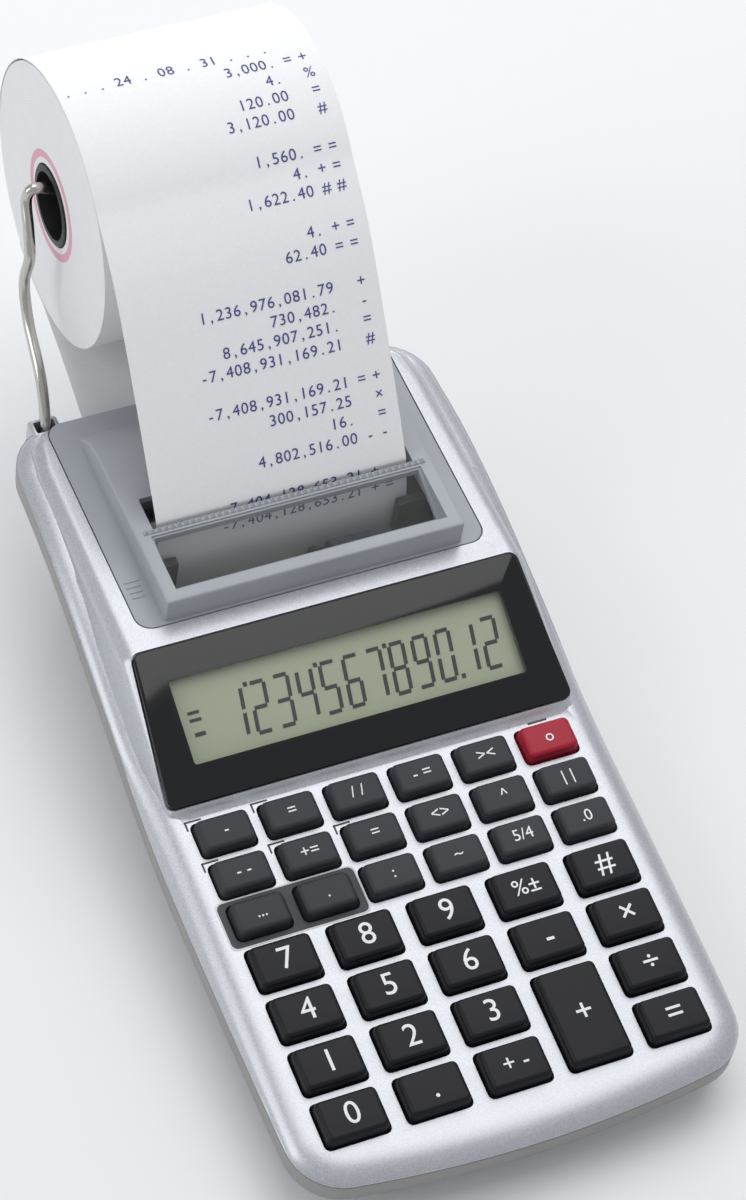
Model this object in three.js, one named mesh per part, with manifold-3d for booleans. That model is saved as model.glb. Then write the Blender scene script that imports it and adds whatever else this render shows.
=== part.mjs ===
// Desk printing calculator: case, keypad, display, roll-fed printer and wire roll holder.
// Millimetres, +Z up. The desk is z = 0, and y runs from the front edge of the case to its back.
import * as THREE from 'three';
import { mergeVertices } from 'three/addons/utils/BufferGeometryUtils.js';
import Module from 'manifold-3d';

const wasm = await Module();
wasm.setup();
const { Manifold, Mesh: ManifoldMesh } = wasm;

// ---------------------------------------------------------------- driving dimensions
const gap = 0.3;                  // clearance between neighbouring pieces
const wall = 2.0;                 // case wall
const caseHalfWidth = 50.8;       // at the seam, beside the keypad
const rearNarrowing = 2.2;        // how much less it is beside the printer
const caseBottom = 1.5;           // underside of the lower case above the desk
const deckHeight = 16.1;          // keypad surface, carried forward to y = 0
const deckTilt = 5.73;            // degrees
const topHeight = 40.1;           // printer deck
const edgeRoll = 5.5;             // width of the rolled edge round the keypad
const seamBelowDeck = 2.5;        // at the front
const seamBelowTop = 4.3;         // at the back
const bandHeight = 5.6;           // grey band under the seam

const keyRise = 2.8;              // key top above the keypad surface
const keyTravel = 1.3;
const keyFlange = 0.8;
const keyLip = 0.55;              // how far the flange stands out all round
const firstRow = 15.7;            // middle of the first row, from the front edge
const largeKey = { width: 14.1, depth: 10.0, ribX: 3.85, ribY: 1.95 };
const smallKey = { width: 12.2, depth: 8.1, ribX: 2.52, ribY: 1.83 };
const blockGap = 2.4;             // between the large keys and the small ones
const matThickness = 1.2;
const boardThickness = 1.6;
const boardMargin = 7.8;          // board edge inside the side of the case

const displayMargin = 3.5;        // last key to the foot of the display slope
const displayStep = 1.8;          // foot of the slope above the keypad surface
const displayLength = 33.4;       // along the slope
const lensFootMargin = 4.6;       // lens edge inside the side of the case
const lensHeadMargin = 6.9;
const lensThickness = 1.5;
const lcdHalfWidth = 40;
const lcdLength = 21.5;
const lcdThickness = 2.6;
const lcdInset = 6;               // from the foot of the slope

const paperWidth = 57.5;
const paperThickness = 0.3;
const roll = { behind: 28.4, above: 2.8, radius: 31.3, core: 9.2, bore: 7.6 };

// The printer lies behind the display. Its places run back from the front of its cover.
const headStrip = 5.3;            // level strip between the display and the cover
const coverLength = 56.9;
const coverMargin = 2.7;          // cover to the back of the case
const coverPlate = 1.6;
const hoodMargin = 5.25;          // hood beyond the edge of the paper
const hoodRise = 6.6;             // hood rim above the printer deck
const coverBorder = 5.7;          // flat border beside the hood
const windowFoot = { back: 5.9, drop: 4.2 };
const tearBar = { back: 18.4, margin: 1.6, thickness: 1.0, tooth: 1.2, count: 32 };
const slotDepth = 9.5;            // paper slot behind the tear bar
const frameInset = 1.1;           // printer frame behind the front of the cover
const frameLength = 41;
const frameDepth = 17.6;
const frameWall = 1.8;
const frameBelowTop = 3.5;
const frameMargin = 7.25;         // frame side beyond the edge of the paper
const earCover = 3.25;            // how much of the paper's edge each guide covers
const platen = { back: 21.5, below: 13.1, radius: 4.2, teeth: 16 };
const wheel = { radius: 3.9, width: 9, teeth: 8 };
const ink = { ahead: 4.0, above: 7.5, radius: 4.3, width: 10 };
const carriage = { x: 13, plate: 1.2 };
const motor = { radius: 4.9, length: 25, angle: 18, teeth: 10 };
const gearModule = 0.75;
const gearWidth = 3;
const shaftRadius = 1.5;
const pinRadius = 0.9;
const runGap = 0.35;              // radial clearance of shafts in their holes

const wireRadius = 1.3;
const wireMargin = 9.75;          // wire root beyond the edge of the paper

const cell = { radius: 7.25, length: 50.5, spacing: 0.6 };
const bayRows = 4;                // cells lie across the case, one behind the other
const baySides = 2.75;            // room for a contact at each end of a cell
const slidePlate = 1.4;           // battery cover
const slideLip = 2;               // how far it runs under the case all round
const foot = { width: 4, length: 48, inset: 5.2 };

// ---------------------------------------------------------------- derived places
const rad = THREE.MathUtils.degToRad;
const deckSlope = Math.tan(rad(deckTilt));
const deckAt = (y) => deckHeight + deckSlope * y;
const rearHalfWidth = caseHalfWidth - rearNarrowing;
for (const key of [largeKey, smallKey]) {
  key.pitchX = key.width + key.ribX;
  key.pitchY = key.depth + key.ribY;
}
const smallRow = firstRow + 3 * largeKey.pitchY + (largeKey.depth + smallKey.depth) / 2 + blockGap;
const keypadEnd = smallRow + 2 * smallKey.pitchY + smallKey.depth / 2;
const displayFront = keypadEnd * Math.cos(rad(deckTilt)) + displayMargin;
const displayFoot = deckAt(displayFront) + displayStep;
const displayTilt = THREE.MathUtils.radToDeg(Math.asin((topHeight + 0.17 - displayFoot) / displayLength));
const displayHead = displayFront + displayLength * Math.cos(rad(displayTilt));
const lensFootHalf = caseHalfWidth - lensFootMargin;
const lensHeadHalf = caseHalfWidth - lensHeadMargin;

const coverFront = displayHead + headStrip;
const coverRear = coverFront + coverLength;
const caseLength = coverRear + coverMargin;
const hoodHalf = paperWidth / 2 + hoodMargin;
const coverHalf = hoodHalf + coverBorder;
const hoodTop = topHeight + hoodRise;
const hoodFront = coverFront + 0.6;
tearBar.y = coverFront + tearBar.back;
tearBar.half = hoodHalf - tearBar.margin;
windowFoot.y = coverFront + windowFoot.back;
const frameFront = coverFront + frameInset;
const frameRear = frameFront + frameLength;
const frameTop = topHeight - frameBelowTop;
const frameFloor = frameTop - frameDepth;
const frameHalf = paperWidth / 2 + frameMargin;
platen.y = coverFront + platen.back;
platen.z = topHeight - platen.below;
wheel.y = platen.y - platen.radius - wheel.radius - gap - paperThickness - 0.3;
wheel.z = platen.z;
ink.y = wheel.y - ink.ahead;
ink.z = wheel.z + ink.above;
const paperLine = platen.radius + gap + paperThickness / 2;
roll.y = caseLength + roll.behind;
roll.z = topHeight + roll.above + roll.radius;
const rollBack = roll.y + roll.radius + gap + paperThickness;   // back of the paper over the roll

const bayFront = displayFront - 2;
const bayHalf = cell.length / 2 + baySides;
const bayLength = bayRows * (2 * cell.radius + cell.spacing);
const slideTop = caseBottom + slidePlate;

// Height of the seam between the two case halves: nearly level beside the keypad,
// then sweeping up beside the display to run just under the printer deck.
const seamRise = { from: displayFront - 15, to: coverRear - 18, level: displayFront + 20, slope: 0.06 };
function seamAt(y) {
  const start = deckHeight - seamBelowDeck;
  const sweep = topHeight - seamBelowTop - start - seamRise.slope * seamRise.level;
  return start + seamRise.slope * Math.min(y, seamRise.level)
    + sweep * THREE.MathUtils.smoothstep(y, seamRise.from, seamRise.to);
}
const bandAt = (y) => seamAt(y) - bandHeight;
const shoulderAt = (y) => Math.max(deckAt(y), seamAt(y) + 2.4);

// ---------------------------------------------------------------- materials
function paint(color, roughness, metalness = 0) {
  return new THREE.MeshStandardMaterial({ color, roughness, metalness });
}
const materials = {
  silver: paint(0xc6c9cf, 0.38, 0.35),
  grey: paint(0x989694, 0.5),
  darkKey: paint(0x1c1c22, 0.45),
  greyKey: paint(0x3b3d41, 0.45),
  redKey: paint(0xa81f33, 0.4),
  lens: paint(0x0b0c10, 0.05),
  liquidCrystal: paint(0xaab39a, 0.3),
  frosted: paint(0xb9bcc4, 0.35),
  black: paint(0x17171a, 0.5),
  rubber: paint(0x25252a, 0.85),
  steel: paint(0xb9b7b2, 0.25, 1),
  gear: paint(0xe6e2d4, 0.5),
  ink: paint(0x2a2440, 0.95),
  paper: paint(0xf2f2f5, 0.85),
  board: paint(0x2f6b45, 0.5),
};

// ---------------------------------------------------------------- shape tools
function solid(geometry) {
  const bare = geometry.index ? geometry.toNonIndexed() : geometry.clone();
  for (const name of Object.keys(bare.attributes)) if (name !== 'position') bare.deleteAttribute(name);
  const merged = mergeVertices(bare, 1e-4);
  return new Manifold(new ManifoldMesh({
    numProp: 3,
    vertProperties: new Float32Array(merged.attributes.position.array),
    triVerts: new Uint32Array(merged.index.array),
  }));
}

function geometryOf(body) {
  const shape = body.getMesh();
  const geometry = new THREE.BufferGeometry();
  geometry.setAttribute('position', new THREE.BufferAttribute(new Float32Array(shape.vertProperties), 3));
  geometry.setIndex(new THREE.BufferAttribute(new Uint32Array(shape.triVerts), 1));
  geometry.computeVertexNormals();
  return geometry;
}

// Closed body through rings of points, one above the other, with a fan over the first and the last.
function loft(rings) {
  const count = rings[0].length;
  const points = rings.flat();
  const faces = [];
  for (let level = 0; level + 1 < rings.length; level++) {
    for (let i = 0; i < count; i++) {
      const a = level * count + i;
      const b = level * count + ((i + 1) % count);
      faces.push(a, b, b + count, a, b + count, a + count);
    }
  }
  for (const [ring, flip] of [[0, true], [rings.length - 1, false]]) {
    const centre = points.length;
    points.push(rings[ring].reduce((sum, p) => sum.add(p), new THREE.Vector3()).divideScalar(count));
    for (let i = 0; i < count; i++) {
      const a = ring * count + i;
      const b = ring * count + ((i + 1) % count);
      faces.push(...(flip ? [b, a, centre] : [a, b, centre]));
    }
  }
  const geometry = new THREE.BufferGeometry().setFromPoints(points);
  geometry.setIndex(faces);
  return solid(geometry);
}

function box(x0, x1, y0, y1, z0, z1) {
  const geometry = new THREE.BoxGeometry(x1 - x0, y1 - y0, z1 - z0);
  return solid(geometry.translate((x0 + x1) / 2, (y0 + y1) / 2, (z0 + z1) / 2));
}

function cylinderX(radius, x0, x1, y, z, sides = 24) {
  const geometry = new THREE.CylinderGeometry(radius, radius, x1 - x0, sides);
  return solid(geometry.rotateZ(Math.PI / 2).translate((x0 + x1) / 2, y, z));
}

// Side profile of [y, z] points, drawn anticlockwise, carried across from x0 to x1.
function acrossX(profile, x0, x1) {
  const shape = new THREE.Shape(profile.map(([y, z]) => new THREE.Vector2(y, z)));
  const geometry = new THREE.ExtrudeGeometry(shape, { depth: x1 - x0, bevelEnabled: false });
  const turn = new THREE.Matrix4().makeBasis(
    new THREE.Vector3(0, 1, 0), new THREE.Vector3(0, 0, 1), new THREE.Vector3(1, 0, 0));
  return solid(geometry.applyMatrix4(turn).translate(x0, 0, 0));
}

// Rounded four-sided outline, wider in front than behind where asked, with bowed front and sides.
function outline(shape, heightAt) {
  const { front, rear, frontHalf, rearHalf, cornerFront, cornerRear, bowFront = 0, bowSide = 0 } = shape;
  const corner = 4;
  const side = 8;
  const right = [];
  for (let i = 0; i <= 3; i++) {
    const x = (i / 4) * (frontHalf - cornerFront);
    right.push([x, front + bowFront * (x / frontHalf) ** 2]);
  }
  const arc = (cx, cy, r, from) => {
    for (let i = 0; i <= corner; i++) {
      const angle = rad(from + (90 * i) / corner);
      right.push([cx + r * Math.cos(angle), cy + r * Math.sin(angle)]);
    }
  };
  arc(frontHalf - cornerFront, front + bowFront + cornerFront, cornerFront, -90);
  for (let i = 1; i < side; i++) {
    const t = i / side;
    const bow = bowSide * 4 * t * (1 - t);
    const y = THREE.MathUtils.lerp(front + bowFront + cornerFront, rear - cornerRear, t);
    right.push([THREE.MathUtils.lerp(frontHalf, rearHalf, t) + bow, y]);
  }
  arc(rearHalf - cornerRear, rear - cornerRear, cornerRear, 0);
  const left = right.slice(1).reverse().map(([x, y]) => [-x, y]);
  return [...right, ...left].map(([x, y]) => new THREE.Vector3(x, y, heightAt(y)));
}

// Rounded rectangle about the origin.
function plate(width, depth, radius, z, corner = 1) {
  const points = [];
  for (let quarter = 0; quarter < 4; quarter++) {
    const sx = quarter === 0 || quarter === 3 ? 1 : -1;
    const sy = quarter < 2 ? 1 : -1;
    for (let i = 0; i <= corner; i++) {
      const angle = rad(90 * quarter + (90 * i) / corner);
      points.push(new THREE.Vector3(
        sx * (width / 2 - radius) + radius * Math.cos(angle),
        sy * (depth / 2 - radius) + radius * Math.sin(angle), z));
    }
  }
  return points;
}

// Frames of the two sloping faces: along = distance up the slope, z = outwards.
const onDeck = (x, along, out = 0) => new THREE.Matrix4()
  .makeRotationX(rad(deckTilt))
  .setPosition(x, along * Math.cos(rad(deckTilt)) - out * Math.sin(rad(deckTilt)),
    deckHeight + along * Math.sin(rad(deckTilt)) + out * Math.cos(rad(deckTilt)));
const onDisplay = (x, along, out = 0) => new THREE.Matrix4()
  .makeRotationX(rad(displayTilt))
  .setPosition(x, displayFront + along * Math.cos(rad(displayTilt)) - out * Math.sin(rad(displayTilt)),
    displayFoot + along * Math.sin(rad(displayTilt)) + out * Math.cos(rad(displayTilt)));
const placed = (body, matrix) => body.transform(matrix.elements);

const group = new THREE.Group();
function add(name, body, material) {
  const mesh = new THREE.Mesh(geometryOf(body), material);
  mesh.name = name;
  group.add(mesh);
}

// ---------------------------------------------------------------- case outlines
const seamOutline = (inset) => ({
  front: inset, rear: caseLength - inset,
  frontHalf: caseHalfWidth - 0.6 - inset, rearHalf: rearHalfWidth - inset,
  cornerFront: 12 - Math.min(inset, 6), cornerRear: 12 - Math.min(inset, 6),
  bowFront: 3 - 0.2 * Math.min(inset, 5), bowSide: 1.2,
});
const baseOutline = (inset) => ({
  front: 6.5 + inset, rear: caseLength - 13 - inset,
  frontHalf: caseHalfWidth - 4.5 - inset, rearHalf: rearHalfWidth - 12.6 - inset,
  cornerFront: 9 - Math.min(inset, 5), cornerRear: 9 - Math.min(inset, 5), bowFront: 3, bowSide: 1,
});
const housingOutline = (inset) => ({
  front: displayFront - 6 + inset, rear: caseLength - 1.6 - inset,
  frontHalf: caseHalfWidth - 2.6 - inset, rearHalf: rearHalfWidth - 1.8 - inset,
  cornerFront: 6 - Math.min(inset, 3), cornerRear: 9.5 - Math.min(inset, 5),
});

// Everything inside an inset of the case's outer faces, both halves and the raised housing in one.
const beyond = caseHalfWidth + 10;   // clear of the sides
function caseBody(inset) {
  const { lerp } = THREE.MathUtils;
  const between = (share, drop) => (y) => lerp(seamAt(y), shoulderAt(y), share) - drop * inset;
  const hull = loft([
    outline(baseOutline(inset * 0.6), () => caseBottom + inset),
    outline(seamOutline(inset + 0.5), bandAt),
    outline(seamOutline(inset), seamAt),
    outline(seamOutline(inset + 0.7), between(0.5, 0.4)),
    outline(seamOutline(inset + 2.2), between(0.85, 0.8)),
    outline(seamOutline(inset + edgeRoll), (y) => shoulderAt(y) - inset),
  ]);
  const housing = loft([
    outline(housingOutline(inset), (y) => seamAt(y) - 1),
    outline(housingOutline(inset + 2), () => topHeight - 1.8 - inset),
    outline(housingOutline(inset + 3.4), () => topHeight - inset),
  ]);
  const drop = inset / Math.cos(rad(displayTilt));
  const slope = acrossX([
    [displayFront - 4 + inset, 0], [caseLength, 0], [caseLength, topHeight + 10],
    [displayHead + 1.6, topHeight + 10], [displayHead + 1.6, topHeight - inset],
    [displayHead, displayFoot + displayLength * Math.sin(rad(displayTilt)) - drop],
    [displayFront - 0.8, displayFoot - 0.8 * Math.tan(rad(displayTilt)) - drop],
    [displayFront - 2 + inset, displayFoot - 2.2 - inset],
  ], -beyond, beyond);
  return hull.add(housing.intersect(slope));
}
const caseOuter = caseBody(0);
const caseInner = caseBody(wall);

const seamSteps = Array.from({ length: 25 }, (_, i) => -5 + ((caseLength + 10) * i) / 24);
const belowSeam = (shift) => acrossX([
  [-5, -5], [caseLength + 5, -5],
  ...seamSteps.slice().reverse().map((y) => [y, seamAt(THREE.MathUtils.clamp(y, 0, caseLength)) + shift]),
], -beyond, beyond);
// Hollow of the lower case, straight up through the seam.
const tub = loft([
  outline(baseOutline(wall * 0.6), () => caseBottom + wall),
  outline(seamOutline(wall + 0.5), bandAt),
  outline(seamOutline(wall), seamAt),
  outline(seamOutline(wall), () => topHeight + wall),
]);

// ---------------------------------------------------------------- keys
const keys = [];
const largeNames = [
  ['key_0', 'key_point', 'key_sign', 'key_plus', 'key_equals'],
  ['key_1', 'key_2', 'key_3', null, 'key_divide'],
  ['key_4', 'key_5', 'key_6', 'key_minus', 'key_multiply'],
  ['key_7', 'key_8', 'key_9', 'key_percent', 'key_subtotal'],
];
const smallNames = [
  ['key_mode', 'key_start', 'key_time', 'key_wave', 'key_round', 'key_decimals'],
  ['key_recall', 'key_memory_add', 'key_memory_total', 'key_exchange', 'key_feed', 'key_print'],
  ['key_cost', 'key_sell', 'key_margin', 'key_rate', 'key_convert', 'key_on'],
];
largeNames.forEach((names, row) => names.forEach((name, column) => {
  if (!name) return;
  const tall = name === 'key_plus' ? largeKey.pitchY : 0;
  keys.push({
    name, material: materials.darkKey, x: (column - 2) * largeKey.pitchX,
    along: firstRow + row * largeKey.pitchY + tall / 2, width: largeKey.width, depth: largeKey.depth + tall,
  });
}));
smallNames.forEach((names, row) => names.forEach((name, column) => {
  keys.push({
    name, material: name === 'key_on' ? materials.redKey : materials.greyKey,
    x: (column - 2.5) * smallKey.pitchX, along: smallRow + row * smallKey.pitchY,
    width: smallKey.width, depth: smallKey.depth,
  });
}));

function keyBody({ width, depth }) {
  const under = -wall - gap;
  return loft([
    plate(width + 2 * keyLip, depth + 2 * keyLip, 1.2, under - keyFlange),
    plate(width + 2 * keyLip, depth + 2 * keyLip, 1.2, under),
    plate(width, depth, 1.2, under),
    plate(width - 0.3, depth - 0.3, 1.2, keyRise - 0.9),
    plate(width - 1.6, depth - 1.6, 0.8, keyRise),
  ]);
}
const keyHole = ({ width, depth }) => loft([
  plate(width + 2 * gap, depth + 2 * gap, 1.4, -wall - 2),
  plate(width + 2 * gap, depth + 2 * gap, 1.4, 3),
]);

// ---------------------------------------------------------------- display
const lensOutline = (grow, z0, z1) => {
  const ring = (z) => outline({
    front: -grow, rear: displayLength - 1 + grow, cornerFront: 2, cornerRear: 2,
    frontHalf: lensFootHalf + grow, rearHalf: lensHeadHalf + grow,
  }, () => z);
  return loft([ring(z0), ring(z1)]);
};
const lens = lensOutline(0, -lensThickness, 0);
const lensPocket = lensOutline(gap, -lensThickness - gap, 4);
const lcdBlock = (grow, z0, z1) => box(
  -lcdHalfWidth - grow, lcdHalfWidth + grow, lcdInset - grow, lcdInset + lcdLength + grow, z0, z1);
const lcdTop = -lensThickness - gap;

// ---------------------------------------------------------------- printer cover
const coverPlateBody = (grow, z0, z1) => {
  const shape = {
    front: coverFront - grow, rear: coverRear + grow, frontHalf: coverHalf + grow, rearHalf: coverHalf + grow,
    cornerFront: 3.5, cornerRear: 3.5,
  };
  return loft([outline(shape, () => z0), outline(shape, () => z1)]);
};
const hoodShape = (grow) => ({
  front: hoodFront - grow, rear: coverRear - 3 + grow, cornerFront: 2, cornerRear: 2,
  frontHalf: hoodHalf + grow, rearHalf: hoodHalf - 1 + grow,
});
// The hood is level as far as the paper slot, then falls to the plate behind it.
const hoodFall = (grow) => acrossX([
  [hoodFront - 5, topHeight - 10], [coverRear, topHeight - 10],
  [coverRear, topHeight - coverPlate + grow + 1],
  [tearBar.y + slotDepth + 14, hoodTop + grow], [hoodFront - 5, hoodTop + grow],
], -hoodHalf - 5, hoodHalf + 5);
const hoodBody = (grow, z0) => loft([
  outline(hoodShape(grow), () => z0), outline(hoodShape(grow - 0.5), () => hoodTop + grow),
]).intersect(hoodFall(grow));

function coverBody() {
  const windowHead = hoodTop - 0.4;
  const windowAt = hoodTop - windowFoot.drop;
  const funnel = loft([
    plate(2 * (hoodHalf - 3.2), 10, 0.5, 0).map((p) => {
      const deep = p.y < 0;
      return new THREE.Vector3(p.x, deep ? windowFoot.y : tearBar.y - 0.6, deep ? windowAt : windowHead);
    }),
    plate(2 * (hoodHalf - 0.7), 10, 0.5, 0).map((p) => new THREE.Vector3(
      p.x, p.y < 0 ? hoodFront + 0.7 : tearBar.y - 0.6, hoodTop + 3)),
  ]);
  const slot = box(-paperWidth / 2 - 1.2, paperWidth / 2 + 1.2, tearBar.y + tearBar.thickness,
    tearBar.y + slotDepth, topHeight - 8, hoodTop + 5);
  const teeth = [];
  const step = (2 * tearBar.half) / tearBar.count;
  for (let i = 0; i < tearBar.count; i++) {
    const x = -tearBar.half + i * step;
    teeth.push([x, hoodTop], [x + step / 2, hoodTop + tearBar.tooth]);
  }
  const edge = new THREE.Shape([
    new THREE.Vector2(-tearBar.half, hoodTop - 2.5), new THREE.Vector2(tearBar.half, hoodTop - 2.5),
    new THREE.Vector2(tearBar.half, hoodTop), ...teeth.reverse().map(([x, z]) => new THREE.Vector2(x, z)),
  ]);
  const bar = new THREE.ExtrudeGeometry(edge, { depth: tearBar.thickness, bevelEnabled: false });
  bar.rotateX(Math.PI / 2).translate(0, tearBar.y + tearBar.thickness, 0);
  return coverPlateBody(0, topHeight - coverPlate, topHeight)
    .add(hoodBody(0, topHeight - coverPlate))
    .subtract(hoodBody(-coverPlate, topHeight - 8))
    .add(coverWindow(windowAt, windowHead))
    .subtract(funnel)
    .add(solid(bar))
    .subtract(slot);
}

// Sloping pane between the front lip and the tear bar, with its three slanted walls.
function coverWindow(foot, head) {
  const side = hoodHalf - 1;
  return acrossX([
    [hoodFront + 0.6, hoodTop - 0.2], [hoodFront + 0.6, foot + 0.6], [windowFoot.y, foot - 1.4],
    [tearBar.y + tearBar.thickness, head - 1.6], [tearBar.y + tearBar.thickness, hoodTop - 0.2],
  ], -side, side);
}

// ---------------------------------------------------------------- case halves
let upper = caseOuter.subtract(caseInner).subtract(belowSeam(gap / 2));
for (const key of keys) upper = upper.subtract(placed(keyHole(key), onDeck(key.x, key.along)));
const displayInverse = onDisplay(0, 0).invert();
const bezel = lensOutline(1.5, -lensThickness - gap - wall, 0).intersect(placed(caseOuter, displayInverse));
upper = upper
  .add(placed(bezel, onDisplay(0, 0)))
  .subtract(placed(lensPocket, onDisplay(0, 0)))
  .subtract(placed(lcdBlock(gap, -12, 1), onDisplay(0, 0)))
  .subtract(coverPlateBody(gap, topHeight - coverPlate - gap, topHeight + 5))
  .subtract(coverPlateBody(-2.2, topHeight - 12, topHeight));
const wireRootX = paperWidth / 2 + wireMargin;
const wireWell = (side) => box(
  side * wireRootX - wireRadius - 1.0, side * wireRootX + wireRadius + 1.0,
  coverRear + gap, coverRear + 5.2, topHeight - 11, topHeight + 5);
const rearSlot = box(-paperWidth / 2 - 1.5, paperWidth / 2 + 1.5, caseLength - 12, caseLength + 5,
  topHeight - 11.1, topHeight - 4.9);
const sockets = wireWell(-1).add(wireWell(1));
upper = upper.subtract(sockets).subtract(rearSlot);
add('upper_case', upper, materials.silver);

const bayRear = bayFront + bayLength;
const bayCut = box(-bayHalf - 0.5, bayHalf + 0.5, bayFront, bayRear, -1, slideTop + gap + wall + 1);
const slideHalf = bayHalf + slideLip;
const slideFront = bayFront - slideLip;
const channel = box(-slideHalf - gap, slideHalf + gap, slideFront - gap, caseLength, -1, slideTop + gap);
const channelRoof = box(-slideHalf - 2.5, slideHalf + 2.5, slideFront - 2.5, caseLength - 15,
  caseBottom + 1, slideTop + gap + wall).intersect(caseOuter);
const frontPad = box(-caseHalfWidth + 16.8, caseHalfWidth - 16.8, 14, 20, 0, caseBottom + 0.5);
const lower = caseOuter.subtract(tub).intersect(belowSeam(-gap / 2)).add(channelRoof)
  .subtract(channel).subtract(bayCut).add(frontPad).subtract(sockets).subtract(rearSlot);
add('lower_case', lower, materials.grey);
add('battery_cover', box(-slideHalf, slideHalf, slideFront, caseLength - 14.5, caseBottom, slideTop),
  materials.grey);
for (const side of [-1, 1]) {
  const x = side * (bayHalf + foot.inset);
  const y = bayFront + 30;
  add(side < 0 ? 'foot_rear_left' : 'foot_rear_right',
    box(x - foot.width / 2, x + foot.width / 2, y, y + foot.length, 0, caseBottom - 0.05), materials.rubber);
}

for (const key of keys) add(key.name, placed(keyBody(key), onDeck(key.x, key.along)), key.material);
const matTop = -wall - gap - keyFlange - keyTravel - gap;
const sheet = (top, thickness, from, to, half) => placed(
  loft([plate(2 * half, to - from, 4, top - thickness), plate(2 * half, to - from, 4, top)]),
  onDeck(0, (from + to) / 2));
const boardFront = firstRow - largeKey.depth / 2 - 1.7;
const boardHalf = caseHalfWidth - boardMargin;
add('key_mat', sheet(matTop, matThickness, boardFront, keypadEnd + 0.6, boardHalf), materials.rubber);
add('main_board', sheet(matTop - matThickness - gap, boardThickness, boardFront, keypadEnd + 0.6, boardHalf),
  materials.board);

add('display_window', placed(lens, onDisplay(0, 0)), materials.lens);
const lcd = lcdBlock(0, lcdTop - lcdThickness, lcdTop - gap);
add('lcd_panel', placed(lcd, onDisplay(0, 0)), materials.liquidCrystal);
add('printer_cover', coverBody(), materials.frosted);

// ---------------------------------------------------------------- printer
function gear(teeth, radius, x0, x1, y, z, phase) {
  const shape = new THREE.Shape();
  const pitch = (2 * Math.PI) / teeth;
  const outer = radius + 0.55 * gearModule;
  const inner = radius - 0.95 * gearModule;
  for (let i = 0; i < teeth; i++) {
    const centre = phase + i * pitch;
    for (const [r, offset] of [[inner, -0.27], [outer, -0.1], [outer, 0.1], [inner, 0.27]]) {
      const angle = centre + offset * pitch;
      const point = [r * Math.cos(angle), r * Math.sin(angle)];
      if (i === 0 && offset === -0.27) shape.moveTo(...point);
      else shape.lineTo(...point);
    }
  }
  const turn = new THREE.Matrix4().makeBasis(
    new THREE.Vector3(0, 1, 0), new THREE.Vector3(0, 0, 1), new THREE.Vector3(1, 0, 0));
  const geometry = new THREE.ExtrudeGeometry(shape, { depth: x1 - x0, bevelEnabled: false });
  return solid(geometry.applyMatrix4(turn).translate(x0, y, z));
}
const gearX = -frameHalf - gap - gearWidth;
const platenGear = (gearModule * platen.teeth) / 2;
const wheelGear = (gearModule * wheel.teeth) / 2;
const motorGear = (gearModule * motor.teeth) / 2;
const motorY = platen.y + (platenGear + motorGear) * Math.cos(rad(motor.angle));
const motorZ = platen.z + (platenGear + motorGear) * Math.sin(rad(motor.angle));

const shaftHole = (radius, y, z) => cylinderX(radius, -frameHalf - 1, frameHalf + 1, y, z, 16);
// Two plates hold the edges of the paper, narrower where they stand up inside the hood.
const earInner = paperWidth / 2 - earCover;
const earRear = platen.y - paperLine - 0.5;
const earAt = (half, z0, z1) => box(earInner, half, earRear - 2.2, earRear, z0, z1);
const ear = earAt(frameHalf - frameWall + 0.1, frameTop - 7, frameTop)
  .add(earAt(hoodHalf - coverPlate - 2 * gap, frameTop - 1, topHeight - 0.6));
let frame = box(-frameHalf, frameHalf, frameFront, frameRear, frameFloor, frameTop)
  .subtract(box(-frameHalf + frameWall, frameHalf - frameWall, frameFront + frameWall, frameRear + 5,
    frameFloor + frameWall * 0.6, frameTop + 5))
  .subtract(shaftHole(shaftRadius + runGap, platen.y, platen.z))
  .subtract(shaftHole(shaftRadius + runGap, wheel.y, wheel.z))
  .subtract(cylinderX(shaftRadius + runGap, -frameHalf - 1, -frameHalf + 5, motorY, motorZ, 16));
frame = frame.add(ear).add(ear.mirror([1, 0, 0]));
add('printer_frame', frame, materials.black);

const shaftEnd = frameHalf + 1.2;
const platenHalf = paperWidth / 2 + 0.5;
add('platen_roller', cylinderX(platen.radius, -platenHalf, platenHalf, platen.y, platen.z, 20)
  .add(cylinderX(shaftRadius, gearX - 1, shaftEnd, platen.y, platen.z, 16))
  .add(gear(platen.teeth, platenGear, gearX, gearX + gearWidth, platen.y, platen.z, 0)), materials.rubber);
const wheelPhase = Math.PI / wheel.teeth;
add('wheel_shaft', cylinderX(shaftRadius, gearX - 1, shaftEnd, wheel.y, wheel.z, 16)
  .add(gear(wheel.teeth, wheelGear, gearX, gearX + gearWidth, wheel.y, wheel.z, wheelPhase)),
  materials.steel);
const platenPitch = (2 * Math.PI) / platen.teeth;
const motorPhase = rad(motor.angle + 180) - Math.PI / motor.teeth
  + ((rad(motor.angle) % platenPitch) * platen.teeth) / motor.teeth;
add('motor_pinion', cylinderX(0.8, gearX - 0.5, -frameHalf + frameWall + gap + 1, motorY, motorZ, 12)
  .add(gear(motor.teeth, motorGear, gearX, gearX + gearWidth, motorY, motorZ, motorPhase)), materials.gear);
const motorStart = -frameHalf + frameWall + 2 * gap + 1;
const motorBody = cylinderX(motor.radius, motorStart, motorStart + motor.length, motorY, motorZ, 24);
add('printer_motor', motorBody, materials.steel);

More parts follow.
